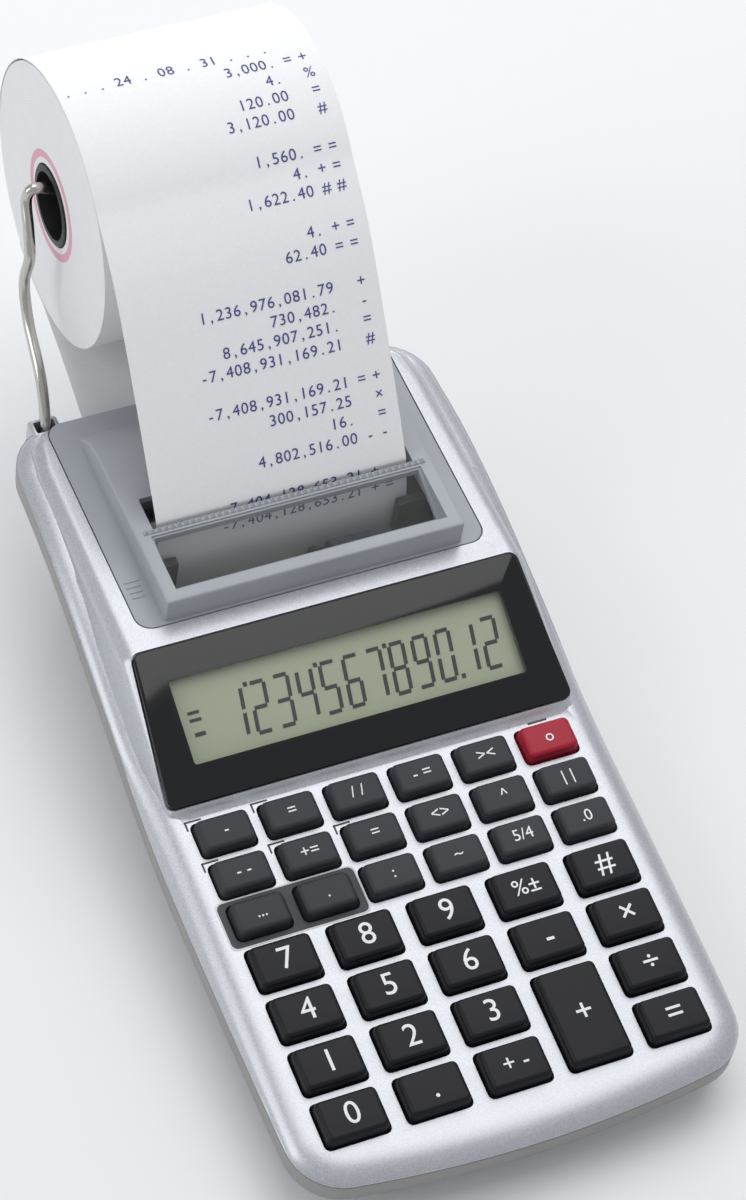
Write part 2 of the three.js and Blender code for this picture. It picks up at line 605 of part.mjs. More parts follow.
const wheelLeft = carriage.x - wheel.width / 2;
const wheelRight = wheelLeft + wheel.width;
const typeRing = (x) => cylinderX(wheel.radius, x, x + wheel.width / 2 - 0.6, wheel.y, wheel.z, 16);
const type = cylinderX(wheel.radius - 0.5, wheelLeft, wheelRight, wheel.y, wheel.z, 16)
  .add(typeRing(wheelLeft + 0.3)).add(typeRing(wheelLeft + 0.3 + wheel.width / 2));
const wheelBore = cylinderX(shaftRadius + gap, wheelLeft - 1, wheelRight + 1, wheel.y, wheel.z, 16);
add('type_wheel', type.subtract(wheelBore), materials.black);
const pinHalf = ink.width / 2 + 1.1;
function inkAt(radius, half, sides) {
  return cylinderX(radius, carriage.x - half, carriage.x + half, ink.y, ink.z, sides);
}
add('ink_roller', inkAt(ink.radius, ink.width / 2, 24).add(inkAt(pinRadius, pinHalf, 12)), materials.ink);
const cheekIn = ink.width / 2 + 0.5;
const cheekOut = cheekIn + carriage.plate;
const cheekProfile = [
  [ink.y - 2.2, wheel.z - 5.8], [wheel.y + 4, wheel.z - 5.8],
  [wheel.y + 4, wheel.z + 2.6], [ink.y + 2, ink.z + 1.8],
  [ink.y - 1.8, ink.z + 1.8], [ink.y - 2.2, ink.z - 1],
];
const cheeks = acrossX(cheekProfile, carriage.x - cheekOut, carriage.x + cheekOut)
  .subtract(box(carriage.x - cheekIn, carriage.x + cheekIn, frameFront, frameRear, wheel.z - 4.7, topHeight));
add('print_carriage', cheeks
  .subtract(cylinderX(shaftRadius + runGap, carriage.x - 10, carriage.x + 10, wheel.y, wheel.z, 16))
  .subtract(inkAt(pinRadius + runGap, 10, 12)), materials.black);

// ---------------------------------------------------------------- paper
// One length of paper: off the underside of the roll, in at the back of the case, under the platen,
// up past the tear bar, then back over the top of the roll.
function paperPath() {
  const around = roll.radius + gap + paperThickness / 2;
  const onRoll = (angle, extra = 0) => new THREE.Vector2(
    roll.y + (around + extra) * Math.cos(rad(angle)), roll.z + (around + extra) * Math.sin(rad(angle)));
  const onPlaten = (angle) => new THREE.Vector2(
    platen.y + paperLine * Math.cos(rad(angle)), platen.z + paperLine * Math.sin(rad(angle)));
  const points = [];
  for (let angle = -62; angle >= -90; angle -= 7) points.push(onRoll(angle));
  const feed = new THREE.SplineCurve([
    onRoll(-90), new THREE.Vector2(roll.y - 14.9, topHeight - 2.5),
    new THREE.Vector2(caseLength, topHeight - 7.7),
    new THREE.Vector2(frameRear + 2, platen.z + 0.2), onPlaten(-74),
  ]);
  points.push(...feed.getPoints(14).slice(1));
  for (let angle = -90; angle >= -180; angle -= 15) points.push(onPlaten(angle));
  const rise = new THREE.SplineCurve([
    onPlaten(-180), new THREE.Vector2(platen.y - paperLine + 0.3, topHeight - 4.1),
    new THREE.Vector2(tearBar.y + tearBar.thickness + 0.6, hoodTop - 1.5),
    new THREE.Vector2(tearBar.y + tearBar.thickness + 3.2, hoodTop + 3),
    new THREE.Vector2(tearBar.y + 19.1, hoodTop + 21.9), new THREE.Vector2(tearBar.y + 34.2, hoodTop + 39.3),
    onRoll(136),
  ]);
  points.push(...rise.getPoints(22).slice(1));
  for (let angle = 128; angle >= -12; angle -= 7) points.push(onRoll(angle));
  return points;
}
function ribbon(path, thickness) {
  const shift = (side) => path.map((point, i) => {
    const before = path[Math.max(i - 1, 0)];
    const after = path[Math.min(i + 1, path.length - 1)];
    const along = new THREE.Vector2().subVectors(after, before).normalize();
    return [point.x - along.y * side, point.y + along.x * side];
  });
  return [...shift(-thickness / 2), ...shift(thickness / 2).reverse()];
}
const strip = acrossX(ribbon(paperPath(), paperThickness), -paperWidth / 2, paperWidth / 2);
add('paper_strip', strip, materials.paper);

function tube(inner, outer, half) {
  const profile = [[inner, -half], [outer, -half], [outer, half], [inner, half], [inner, -half]];
  const geometry = new THREE.LatheGeometry(profile.map(([r, h]) => new THREE.Vector2(r, h)), 44);
  return solid(geometry.rotateZ(-Math.PI / 2).translate(0, roll.y, roll.z));
}
add('paper_roll', tube(roll.core + 0.15, roll.radius, paperWidth / 2), materials.paper);
add('roll_core', tube(roll.bore, roll.core - 0.15, paperWidth / 2 + 0.4), materials.black);

// ---------------------------------------------------------------- wire arms
// Sprung wire from a socket in the rear corner, cranked once, then hooked into the core.
const hookHeight = roll.z + 5.3;
const wireRoot = new THREE.Vector3(wireRootX, coverRear + 2.4, topHeight - 4);
const wirePoints = [
  new THREE.Vector3(wireRootX, wireRoot.y, topHeight - 9),
  new THREE.Vector3(wireRootX, wireRoot.y, topHeight - 2),
  new THREE.Vector3(wireRootX - 0.6, wireRoot.y + 5.8, topHeight + 6.2),
  new THREE.Vector3(wireRootX - 1.5, roll.y - 12.1, roll.z - 22),
  new THREE.Vector3(wireRootX - 2.1, roll.y - 6.7, roll.z - 15),
  new THREE.Vector3(wireRootX - 2.7, roll.y - 7, roll.z - 6.8),
  new THREE.Vector3(wireRootX - 3.5, roll.y - 3.3, roll.z - 1.6),
  new THREE.Vector3(wireRootX - 4.2, roll.y + 0.6, roll.z + 2.4),
  new THREE.Vector3(wireRootX - 5.0, roll.y + 1.0, hookHeight - 0.2),
  new THREE.Vector3(wireRootX - 6.9, roll.y + 0.9, hookHeight + 0.3),
  new THREE.Vector3(paperWidth / 2 + 0.4, roll.y + 0.8, hookHeight - 0.6),
  new THREE.Vector3(paperWidth / 2 - 4.6, roll.y + 0.6, hookHeight - 2.4),
];
for (const side of [-1, 1]) {
  const curve = new THREE.CatmullRomCurve3(
    wirePoints.map((p) => new THREE.Vector3(side * p.x, p.y, p.z)), false, 'centripetal');
  const section = new THREE.Shape(Array.from({ length: 8 }, (_, i) => new THREE.Vector2(
    wireRadius * Math.cos((i * Math.PI) / 4), wireRadius * Math.sin((i * Math.PI) / 4))));
  const geometry = new THREE.ExtrudeGeometry(section, { extrudePath: curve, steps: 32, bevelEnabled: false });
  add(side < 0 ? 'holder_arm_left' : 'holder_arm_right', solid(geometry), materials.steel);
}

// The origin is on the desk, under the middle of the whole calculator.
for (const mesh of group.children) mesh.position.y = -rollBack / 2;

export default group;
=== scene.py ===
import math

import bmesh
import bpy
from mathutils import Matrix, Vector
from mathutils.kdtree import KDTree


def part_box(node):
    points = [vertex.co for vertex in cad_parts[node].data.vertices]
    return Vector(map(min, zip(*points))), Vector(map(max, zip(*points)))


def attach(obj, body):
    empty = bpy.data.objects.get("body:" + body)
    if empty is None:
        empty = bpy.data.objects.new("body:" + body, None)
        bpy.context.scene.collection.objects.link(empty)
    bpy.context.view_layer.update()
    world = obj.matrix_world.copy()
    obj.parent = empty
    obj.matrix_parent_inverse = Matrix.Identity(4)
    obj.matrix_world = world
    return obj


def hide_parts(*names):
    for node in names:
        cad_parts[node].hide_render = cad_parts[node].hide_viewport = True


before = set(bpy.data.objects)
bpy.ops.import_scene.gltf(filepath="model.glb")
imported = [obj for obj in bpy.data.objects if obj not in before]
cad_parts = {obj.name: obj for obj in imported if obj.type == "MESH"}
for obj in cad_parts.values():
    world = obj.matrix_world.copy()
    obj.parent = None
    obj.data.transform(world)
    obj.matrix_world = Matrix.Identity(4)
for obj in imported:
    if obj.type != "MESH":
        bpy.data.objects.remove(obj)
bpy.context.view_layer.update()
bpy.ops.object.select_all(action="DESELECT")
mm = 0.001


# ---------------------------------------------------------------- desk, light and camera
# A pale painted board under one large softbox overhead, a fill from the left and a soft white
# room. Its finish is a node material whose sockets are wrapped, so that masks read as sums.
class Link:
    def __init__(self, finish, socket):
        self.finish = finish
        self.socket = socket

    def maths(self, operation, first, second):
        return self.finish.node("Math", {"operation": operation}, {0: first, 1: second})

    def __add__(self, other):
        return self.maths("ADD", self, other)

    def __sub__(self, other):
        return self.maths("SUBTRACT", self, other)

    def __rsub__(self, other):
        return self.maths("SUBTRACT", other, self)

    def __mul__(self, other):
        return self.maths("MULTIPLY", self, other)

    def __gt__(self, other):
        return self.maths("GREATER_THAN", self, other)

    def __lt__(self, other):
        return self.maths("LESS_THAN", self, other)

    __radd__ = __add__
    __rmul__ = __mul__


def rgb(*screen):
    """A colour as it looks on a screen, 0 to 255, made the linear colour that shaders take."""
    return tuple(((c / 255 + 0.055) / 1.055) ** 2.4 for c in screen) + (1,)


class Finish:
    def __init__(self, name, colour, roughness, metallic=0.0, **constants):
        self.material = bpy.data.materials.new(name)
        self.material.use_nodes = True
        self.shader = self.material.node_tree.nodes["Principled BSDF"]
        self.set(Base_Color=colour, Roughness=roughness, Metallic=metallic, **constants)

    def set(self, **sockets):
        for name, value in sockets.items():
            self.give(self.shader.inputs[name.replace("_", " ")], value)

    def give(self, socket, value):
        if isinstance(value, Link):
            self.material.node_tree.links.new(value.socket, socket)
        else:
            socket.default_value = value

    def node(self, kind, settings=None, sockets=None, output=0):
        made = self.material.node_tree.nodes.new("ShaderNode" + kind)
        for name, value in (settings or {}).items():
            setattr(made, name, value)
        for name, value in (sockets or {}).items():
            self.give(made.inputs[name], value)
        return Link(self, made.outputs[output])

    def place(self):
        return self.node("TexCoord", output="Object")

    def noise(self, scale, detail=2.0):
        return self.node("TexNoise", {}, {"Vector": self.place(), "Scale": scale, "Detail": detail})

    def mix(self, factor, first, second):
        return self.node("Mix", {"data_type": "RGBA"}, {0: factor, 6: first, 7: second}, output=2)

    def bump(self, height, strength, distance):
        self.set(Normal=self.node("Bump", {}, {"Height": height, "Strength": strength,
                                               "Distance": distance}))


def finish_with(piece, *finishes):
    piece.data.materials.clear()
    for finish in finishes:
        piece.data.materials.append(finish.material)


bpy.ops.mesh.primitive_plane_add(size=8)
desk = bpy.context.object
desk.name = "desk"
desk_board = Finish("desk_board", rgb(236, 237, 239), 0.6)
desk_board.set(Base_Color=desk_board.mix(desk_board.noise(3), rgb(236, 237, 238), rgb(243, 244, 245)))
finish_with(desk, desk_board)

room = bpy.data.worlds.new("room")
room.use_nodes = True
room.node_tree.nodes["Background"].inputs["Color"].default_value = (0.94, 0.97, 1, 1)
room.node_tree.nodes["Background"].inputs["Strength"].default_value = 0.5
bpy.context.scene.world = room


def softbox(name, place, aim, size, power):
    bpy.ops.object.light_add(type="AREA", location=place)
    light = bpy.context.object
    light.name = name
    light.data.shape = "RECTANGLE"
    light.data.size, light.data.size_y = size
    light.data.energy = power
    light.rotation_euler = (Vector(aim) - Vector(place)).to_track_quat("-Z", "Y").to_euler()


softbox("overhead", (0.25, 0.35, 1.1), (0, 0, 0), (1.1, 1.1), 7)
softbox("left_fill", (-1.1, 0.1, 0.7), (0, 0, 0.03), (0.5, 1.0), 3.5)
softbox("back_rim", (0.5, 1.2, 0.5), (0, 0, 0.03), (1.0, 0.3), 3)

lens_data = bpy.data.cameras.new("camera")
camera = bpy.data.objects.new("camera", lens_data)
bpy.context.scene.collection.objects.link(camera)
lens_data.lens = 128.95
lens_data.sensor_width = 36
lens_data.clip_end = 20
right_axis = Vector((0.91303, -0.38981, 0.12001))
up_axis = Vector((0.24877, 0.76542, 0.59350))
back_axis = Vector((-0.32321, -0.51203, 0.79584))
camera.matrix_world = Matrix.Translation((-0.28247, -0.46777, 0.7599)) @ Matrix(
    (right_axis, up_axis, back_axis)).transposed().to_4x4()
bpy.context.scene.camera = camera
bpy.context.scene.view_settings.view_transform = "Standard"

# ---------------------------------------------------------------- upper case
# The silver shell: sprayed plastic in one moulding, with the keypad deck, the raised block for the
# display and the printer, and a hole for each key. Its lower edge is a seam that climbs gently
# beside the keypad and sweeps up to the printer.
middle = 122.898  # from the front of the case back to the frame's origin, in millimetres
wall = 2.0
half_width, rear_half = 50.2, 48.6
case_length = 185.5
case_bottom, deck_height, deck_tilt = 1.5, 16.1, math.radians(5.73)
top = 40.1
display_front, display_foot, display_tilt = 89.976, 26.93, math.radians(23.544)
seam_front, seam_rear, seam_climb = 13.6, 35.8, 0.06
sweep_start, climb_end, sweep_end = 74.976, 109.976, 164.795


def select_only(piece):
    bpy.ops.object.select_all(action="DESELECT")
    piece.select_set(True)
    bpy.context.view_layer.objects.active = piece


def smoothstep(value, low, high):
    t = min(max((value - low) / (high - low), 0), 1)
    return t * t * (3 - 2 * t)


def deck_at(y):
    return deck_height + math.tan(deck_tilt) * y


def seam_at(y):
    start = seam_front + seam_climb * min(y, climb_end)
    sweep = seam_rear - seam_front - seam_climb * climb_end
    return start + sweep * smoothstep(y, sweep_start, sweep_end)


def shoulder_at(y):
    return max(deck_at(y), seam_at(y) + 2.4)


def outline(inset, height_at, front=0.0, rear=case_length, front_half=half_width, rear_half_width=rear_half,
            corner=12.0, bow_front=3.0, bow_side=1.2):
    """One ring round the case seen from above: a bowed front, nearly straight sides, round corners."""
    front, rear = front + inset, rear - inset
    front_half, rear_half_width = front_half - inset, rear_half_width - inset
    corner = max(corner - inset, 1.5)
    lean = math.atan(2 * bow_front / (front_half - corner))
    reach = front_half - corner + corner * math.sin(lean)
    turn_y = front + bow_front + corner * math.cos(lean)
    right = []
    for i in range(6):
        x = (i + 0.5) / 6 * reach
        right.append((x, front + bow_front * (x / reach) ** 2))
    for i in range(9):
        a = lean - math.radians(90) + (math.radians(90) - lean) * i / 8
        right.append((front_half - corner + corner * math.cos(a), turn_y + corner * math.sin(a)))
    for i in range(1, 36):
        t = i / 36
        right.append((front_half + (rear_half_width - front_half) * t + bow_side * 4 * t * (1 - t),
                      turn_y + (rear - corner - turn_y) * t))
    for i in range(9):
        a = math.radians(90 * i / 8)
        right.append((rear_half_width - corner + corner * math.cos(a), rear - corner + corner * math.sin(a)))
    for i in range(6):
        right.append(((5.5 - i) / 6 * (rear_half_width - corner), rear))
    ring = right + [(-x, y) for x, y in reversed(right)]
    return [Vector((x, y - middle, height_at(y))) * mm for x, y in ring]


def skin_through(name, rings):
    """A closed skin: a circle put on the first ring, extruded ring by ring, its ends closed by
    strips from side to side."""
    bpy.ops.object.select_all(action="DESELECT")
    count = len(rings[0])
    bpy.ops.mesh.primitive_circle_add(vertices=count, radius=mm)
    piece = bpy.context.object
    piece.name = piece.data.name = name
    for vertex, point in zip(piece.data.vertices, rings[0]):
        vertex.co = point
    bpy.ops.object.mode_set(mode="EDIT")
    for before, ring in zip(rings, rings[1:]):
        bpy.ops.mesh.extrude_region_move()
        mesh = bmesh.from_edit_mesh(piece.data)
        tree = KDTree(count)
        for i, point in enumerate(before):
            tree.insert(point, i)
        tree.balance()
        for vertex in [v for v in mesh.verts if v.select]:
            vertex.co = ring[tree.find(vertex.co)[1]]
    mesh = bmesh.from_edit_mesh(piece.data)
    tree = KDTree(len(mesh.verts))
    for i, vertex in enumerate(mesh.verts):
        tree.insert(vertex.co, i)
    tree.balance()
    mesh.verts.ensure_lookup_table()
    for ring in (rings[0], rings[-1]):
        loop = [mesh.verts[tree.find(point)[1]] for point in ring]
        for i in range(count // 2 - 1):
            mesh.faces.new((loop[i], loop[i + 1], loop[-i - 2], loop[-i - 1]))
    bmesh.update_edit_mesh(piece.data)
    bpy.ops.mesh.select_all(action="SELECT")
    bpy.ops.mesh.normals_make_consistent(inside=False)
    bpy.ops.object.mode_set(mode="OBJECT")
    return piece


def modify(piece, kind, **settings):
    select_only(piece)
    bpy.ops.object.modifier_add(type=kind)
    modifier = piece.modifiers[-1]
    for name, value in settings.items():
        setattr(modifier, name, value)
    bpy.ops.object.modifier_apply(modifier=modifier.name)


def combine(piece, operation, *others):
    for other in others:
        modify(piece, "BOOLEAN", object=other, operation=operation, solver="EXACT")
        bpy.data.objects.remove(other)
    return piece


def join(name, pieces):
    bpy.ops.object.select_all(action="DESELECT")
    for piece in pieces:
        piece.select_set(True)
    bpy.context.view_layer.objects.active = pieces[0]
    if len(pieces) > 1:
        bpy.ops.object.join()
    pieces[0].name = pieces[0].data.name = name
    return pieces[0]


def smooth(piece, angle=32):
    select_only(piece)
    bpy.ops.object.shade_smooth_by_angle(angle=math.radians(angle))


def choose(piece, kind, test):
    """In edit mode, selects just the edges or the faces that pass a test of their place."""
    bpy.ops.mesh.select_mode(type=kind)
    bpy.ops.mesh.select_all(action="DESELECT")
    mesh = bmesh.from_edit_mesh(piece.data)
    for part in (mesh.edges if kind == "EDGE" else mesh.faces):
        if test(part):
            part.select_set(True)
    bmesh.update_edit_mesh(piece.data)


def is_upright(edge):
    across = edge.verts[0].co - edge.verts[1].co
    return abs(across.z) > 0.9 * across.length


def block(name, low, high, bevel=0.0, steps=3, edges="all"):
    """A box between two corners, in millimetres in the model's own frame, with rounded edges."""
    bpy.ops.object.select_all(action="DESELECT")
    bpy.ops.mesh.primitive_cube_add(size=1, location=[(a + b) / 2 * mm for a, b in zip(low, high)])
    piece = bpy.context.object
    piece.name = piece.data.name = name
    piece.scale = [(b - a) * mm for a, b in zip(low, high)]
    bpy.ops.object.transform_apply(location=True, rotation=True, scale=True)
    if bevel:
        bpy.ops.object.mode_set(mode="EDIT")
        choose(piece, "EDGE", lambda edge: edges == "all" or is_upright(edge))
        bpy.ops.mesh.bevel(offset=bevel * mm, segments=steps, profile=0.5)
        bpy.ops.object.mode_set(mode="OBJECT")
    return piece


def lay(piece, matrix):
    """Puts a piece made about the origin into its place, and keeps that place in its mesh."""
    piece.data.transform(matrix)
    piece.data.update()
    return piece


def on_deck(x, along, out=0.0):
    """The keypad's own frame: along runs up its slope and out stands off it, in millimetres."""
    sine, cosine = math.sin(deck_tilt), math.cos(deck_tilt)
    return Matrix.Translation(Vector((x, along * cosine - out * sine - middle,
                                      deck_height + along * sine + out * cosine)) * mm
                              ) @ Matrix.Rotation(deck_tilt, 4, "X")


def on_display(x, along, out=0.0):
    sine, cosine = math.sin(display_tilt), math.cos(display_tilt)
    return Matrix.Translation(Vector((x, display_front + along * cosine - out * sine - middle,
                                      display_foot + along * sine + out * cosine)) * mm
                              ) @ Matrix.Rotation(display_tilt, 4, "X")


def hull(inset, floor_at, roll_over=6.5):
    """The upper shell round the keypad: up from the seam and over a rolled edge onto the deck."""
    rings = [outline(inset, floor_at), outline(inset, lambda y: floor_at(y) + 0.4)]
    for step in range(1, 10):
        a = math.radians(10 * step)

        def level(y):
            return seam_at(y) + (shoulder_at(y) - seam_at(y)) * math.sin(a) - inset

        if step > 1 or inset == 0:
            rings.append(outline(inset + roll_over * (1 - math.cos(a)), level))
    return rings


def housing(inset):
    """The raised block: sections across the case from the foot of the display to the back wall,
    with rounded shoulders, under a roof that rises, turns level and rounds off at the back."""
    slope = math.tan(display_tilt)
    back = case_length - 1.6
    start, front_half, back_half = 84, 48.2, 46.8
    turn, turn_length = 118.6, 4.4
    round_along, round_down = 4.8, 3.4
    corner, front_corner, shoulder, draft = 9.5, 4.0, 3.6, 1.4
    roof = [(86.0, deck_at(86.0) - 0.9), (87.3, deck_at(87.3) - 0.2), (87.9, deck_at(87.9) + 0.05),
            (88.5, deck_at(88.5) + 0.3), (89.1, deck_at(89.1) + 0.72), (89.6, display_foot - 0.35),
            (90.0, display_foot - 0.02)]
    roof += [(y, display_foot + slope * (y - display_front)) for y in (90.5, 95, 100, 105, 110, 115, turn)]
    for i in range(1, 7):
        step = turn_length * i / 6
        height = display_foot + slope * (turn - display_front + step * (1 - i / 20))
        roof.append((turn + step, min(height, top)))
    roof += [(y, top) for y in (124.5, 130, 145, 160, 172, 178.6)]
    for a in range(12, 85, 12):
        roof.append((back - round_along + round_along * math.sin(math.radians(a)),
                     top - round_down + round_down * math.cos(math.radians(a))))
    rings = []
    for y, height in roof:
        share = (y - start) / (back - start)
        half = front_half * (1 - share) + back_half * share
        if y > back - corner:
            half -= corner - math.sqrt(max(corner ** 2 - (y - back + corner) ** 2, 0))
        if y < 91:
            half -= front_corner * (1 - math.sqrt(max(1 - ((91 - y) / 6) ** 2, 0)))
        lift = height - inset
        foot = min(seam_at(y) + 0.4, lift - 4) if inset == 0 else min(seam_at(y) - 6, lift - 5)
        edge = half - inset
        right = [(edge - draft - shoulder - 8, foot), (edge, foot), (edge, min(seam_at(y) + 1.0, lift - 3.8))]
        for i in range(8):
            a = math.radians(90 * i / 7)
            right.append((edge - draft - shoulder + shoulder * math.cos(a),
                          lift - shoulder + shoulder * math.sin(a)))
        ring = right + [(-x, z) for x, z in reversed(right)]
        shift = inset if y > 100 else -inset * 0.9
        rings.append([Vector((x, y - shift - middle, z)) * mm for x, z in ring])
    return rings


# Thirty-seven caps stand in holes of the deck: four rows of large ones at the front and three
# rows of small ones behind. Each hole follows its cap with a narrow gap.
large_rows = [
    [("key_0", "0"), ("key_point", "."), ("key_sign", "+ -"), ("key_plus", "+"), ("key_equals", "=")],
    [("key_1", "1"), ("key_2", "2"), ("key_3", "3"), None, ("key_divide", "\u00f7")],
    [("key_4", "4"), ("key_5", "5"), ("key_6", "6"), ("key_minus", "-"), ("key_multiply", "\u00d7")],
    [("key_7", "7"), ("key_8", "8"), ("key_9", "9"), ("key_percent", "%\u00b1"), ("key_subtotal", "#")],
]
small_rows = [
    [("key_mode", "..."), ("key_start", "."), ("key_time", ":"), ("key_wave", "~"), ("key_round", "5/4"),
     ("key_decimals", ".0")],
    [("key_recall", "- -"), ("key_memory_add", "+="), ("key_memory_total", "="), ("key_exchange", "<>"),
     ("key_feed", "^"), ("key_print", "| |")],
    [("key_cost", "-"), ("key_sell", "="), ("key_margin", "/ /"), ("key_rate", "- ="), ("key_convert", "><"),
     ("key_on", "o")],
]
key_rise, key_gap = 2.8, 0.3
large_width, large_depth, large_across, large_along, large_start = 14.1, 10.0, 17.95, 11.95, 15.7
small_width, small_depth, small_across, small_along, small_start = 12.2, 8.1, 14.72, 9.93, 63.0
keys = {}
for row, line in enumerate(large_rows):
    for column, entry in enumerate(line):
        if entry:
            name, legend = entry
            tall = large_along if name == "key_plus" else 0
            keys[name] = ((column - 2) * large_across, large_start + row * large_along + tall / 2,
                          large_width, large_depth + tall, legend)
for row, line in enumerate(small_rows):
    for column, (name, legend) in enumerate(line):
        keys[name] = ((column - 2.5) * small_across, small_start + row * small_along,
                      small_width, small_depth, legend)


def key_holes(grow, low, high):
    return join("key_holes", [
        lay(block("hole", (-w / 2 - grow, -d / 2 - grow, low), (w / 2 + grow, d / 2 + grow, high), 1.4, 3,
                  "upright"), on_deck(x, along)) for x, along, w, d, legend in keys.values()])


silver = Finish("silver_paint", rgb(178, 181, 187), 0.34, 0.6, Coat_Weight=0.1, Coat_Roughness=0.2)
flake = silver.node("SeparateColor", {}, {0: silver.node(
    "TexVoronoi", {}, {"Vector": silver.place(), "Scale": 5600}, output=1)})
silver.set(Base_Color=silver.mix(flake, rgb(182, 184, 190), rgb(206, 208, 213)), Roughness=flake * 0.1 + 0.3)
silver.bump(flake, 0.09, 0.03 * mm)

lens_foot, lens_head, lens_length, lens_corner = 46.2, 43.9, 33.4, 2


def lens_block(name, grow, low, high, bevel=0.0):
    """The display window's outline: wider at its foot than at its head, with round corners."""
    piece = block(name, (-lens_foot - grow, -grow, low), (lens_foot + grow, lens_length + grow, high))
    for vertex in piece.data.vertices:
        if vertex.co.y > 10 * mm:
            vertex.co.x *= (lens_head + grow) / (lens_foot + grow)
    select_only(piece)
    bpy.ops.object.mode_set(mode="EDIT")
    choose(piece, "EDGE", is_upright)
    bpy.ops.mesh.bevel(offset=lens_corner * mm, segments=5, profile=0.5)
    if bevel:
        choose(piece, "EDGE", lambda edge: min(v.co.z for v in edge.verts) > (high - 0.01) * mm)
        bpy.ops.mesh.bevel(offset=bevel * mm, segments=3, profile=0.5)
    bpy.ops.object.mode_set(mode="OBJECT")
    return piece


upper = skin_through("upper_case_shell", hull(0, lambda y: seam_at(y) + 0.15))
combine(upper, "UNION", skin_through("raised_block", housing(0)))
hollow = skin_through("hollow", hull(wall, lambda y: seam_at(y) - 6))
combine(hollow, "UNION", skin_through("hollow_block", housing(wall)))
combine(upper, "DIFFERENCE", hollow, key_holes(key_gap, -5, 4))
combine(upper, "DIFFERENCE", lay(lens_block("lens_pocket", 0.3, -1.8, 4), on_display(0, 0)),
        lay(block("lcd_opening", (-40.3, 5.7, -12), (40.3, 27.8, 1)), on_display(0, 0)))
cover_low, cover_high = (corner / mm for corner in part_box("printer_cover"))
cover_seat = block("cover_seat", (-cover_high.x - 0.3, cover_low.y - 0.3, 38.2),
                   (cover_high.x + 0.3, cover_high.y + 0.3, 46), 3.7, 6, "upright")
cover_opening = block("cover_opening", (-cover_high.x + 2, cover_low.y + 2, 28),
                      (cover_high.x - 2, cover_high.y - 2, 44), 2, 4, "upright")
paper_slot = block("paper_slot", (-30.25, 50.6, 29), (30.25, 67.6, 35.2), 0.6)
wire_x, wire_bore = 38.5, 2.3
wells = [block("well", (side * wire_x - wire_bore, 60.2, 30), (side * wire_x + wire_bore, 64, 44))
         for side in (-1, 1)]
combine(upper, "DIFFERENCE", cover_seat, cover_opening, paper_slot, *wells)
smooth(upper)
finish_with(upper, silver)
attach(upper, "case")
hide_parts("upper_case")

# ---------------------------------------------------------------- printed panel and corner marks
# A dark printed plate with a light outline round the first two small keys, and small dark corner
# marks at five others. They are ink on the deck, a few hundredths of a millimetre thick.
def moulded(name, dark, light, roughness, grain=2200, depth=0.02, **constants):
    """Moulded plastic: the fine matt texture of the tool and a slightly uneven colour."""
    finish = Finish(name, dark, roughness, **constants)
    fine = finish.noise(grain, 3)
    finish.set(Base_Color=finish.mix(finish.noise(70, 4) * 0.6 + fine * 0.4, dark, light),
               Roughness=fine * 0.16 + (roughness - 0.08))
    finish.bump(fine, 0.35, depth * mm)
    return finish


panel_ink = moulded("panel_ink", rgb(52, 53, 58), rgb(60, 61, 66), 0.5)
outline_ink = moulded("outline_ink", rgb(214, 216, 220), rgb(226, 228, 231), 0.5)
panel_half, panel_front, panel_back = 15.2, -5.4, 5.2
for name, grow, height, ink in (("panel_outline", 0.35, 0.06, outline_ink),
                                ("panel_plate", 0, 0.1, panel_ink)):
    plate = block(name, (-panel_half - grow, panel_front - grow, -0.3),
                  (panel_half + grow, panel_back + grow, height), 1.4, 4, "upright")
    lay(plate, on_deck(-2 * small_across, small_start))
    combine(plate, "DIFFERENCE", key_holes(key_gap, -5, 4))
    finish_with(plate, ink)
    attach(plate, "case")
marks = []
for name in ("key_cost", "key_sell", "key_recall", "key_memory_add", "key_memory_total"):
    x, along, w, d, legend = keys[name]
    left, high = -w / 2 - 1.0, d / 2 + 1.15
    for low, far in (((left, high - 2.2), (left + 0.4, high)),
                     ((left, high - 0.4), (left + 3.8, high))):
        marks.append(lay(block("mark", (*low, -0.2), (*far, 0.05)), on_deck(x, along)))
x, along, w, d, legend = keys["key_on"]
marks.append(lay(block("mark", (-2.2, 5.0, -0.2), (2.2, 5.55, 0.05)), on_deck(x, along)))
corner_marks = join("corner_marks", marks)
finish_with(corner_marks, panel_ink)
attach(corner_marks, "case")

# ---------------------------------------------------------------- keys
# Injection-moulded caps, each with a drafted side, a soft top edge and a flange below the deck
# that keeps it in. The legends are pad-printed in white.
key_black = moulded("key_black", rgb(20, 20, 25), rgb(30, 30, 36), 0.42, Specular_IOR_Level=0.22)
key_grey = moulded("key_grey", rgb(50, 52, 57), rgb(60, 62, 67), 0.46, Specular_IOR_Level=0.22)
key_red = moulded("key_red", rgb(158, 18, 42), rgb(172, 28, 52), 0.4, Specular_IOR_Level=0.3)
legend_ink = moulded("legend_ink", rgb(228, 229, 231), rgb(240, 240, 241), 0.5)


def letters(name, body, size, align="CENTER", thick=0.02):
    """Printed figures as a thin mesh about the origin, in millimetres."""
    bpy.ops.object.select_all(action="DESELECT")
    bpy.ops.object.text_add()
    piece = bpy.context.object
    piece.data.body, piece.data.size = body, size * mm
    piece.data.align_x, piece.data.align_y = align, "CENTER"
    piece.data.extrude, piece.data.resolution_u = thick * mm, 4
    bpy.ops.object.convert(target="MESH")
    piece = bpy.context.object
    piece.name = piece.data.name = name
    return piece


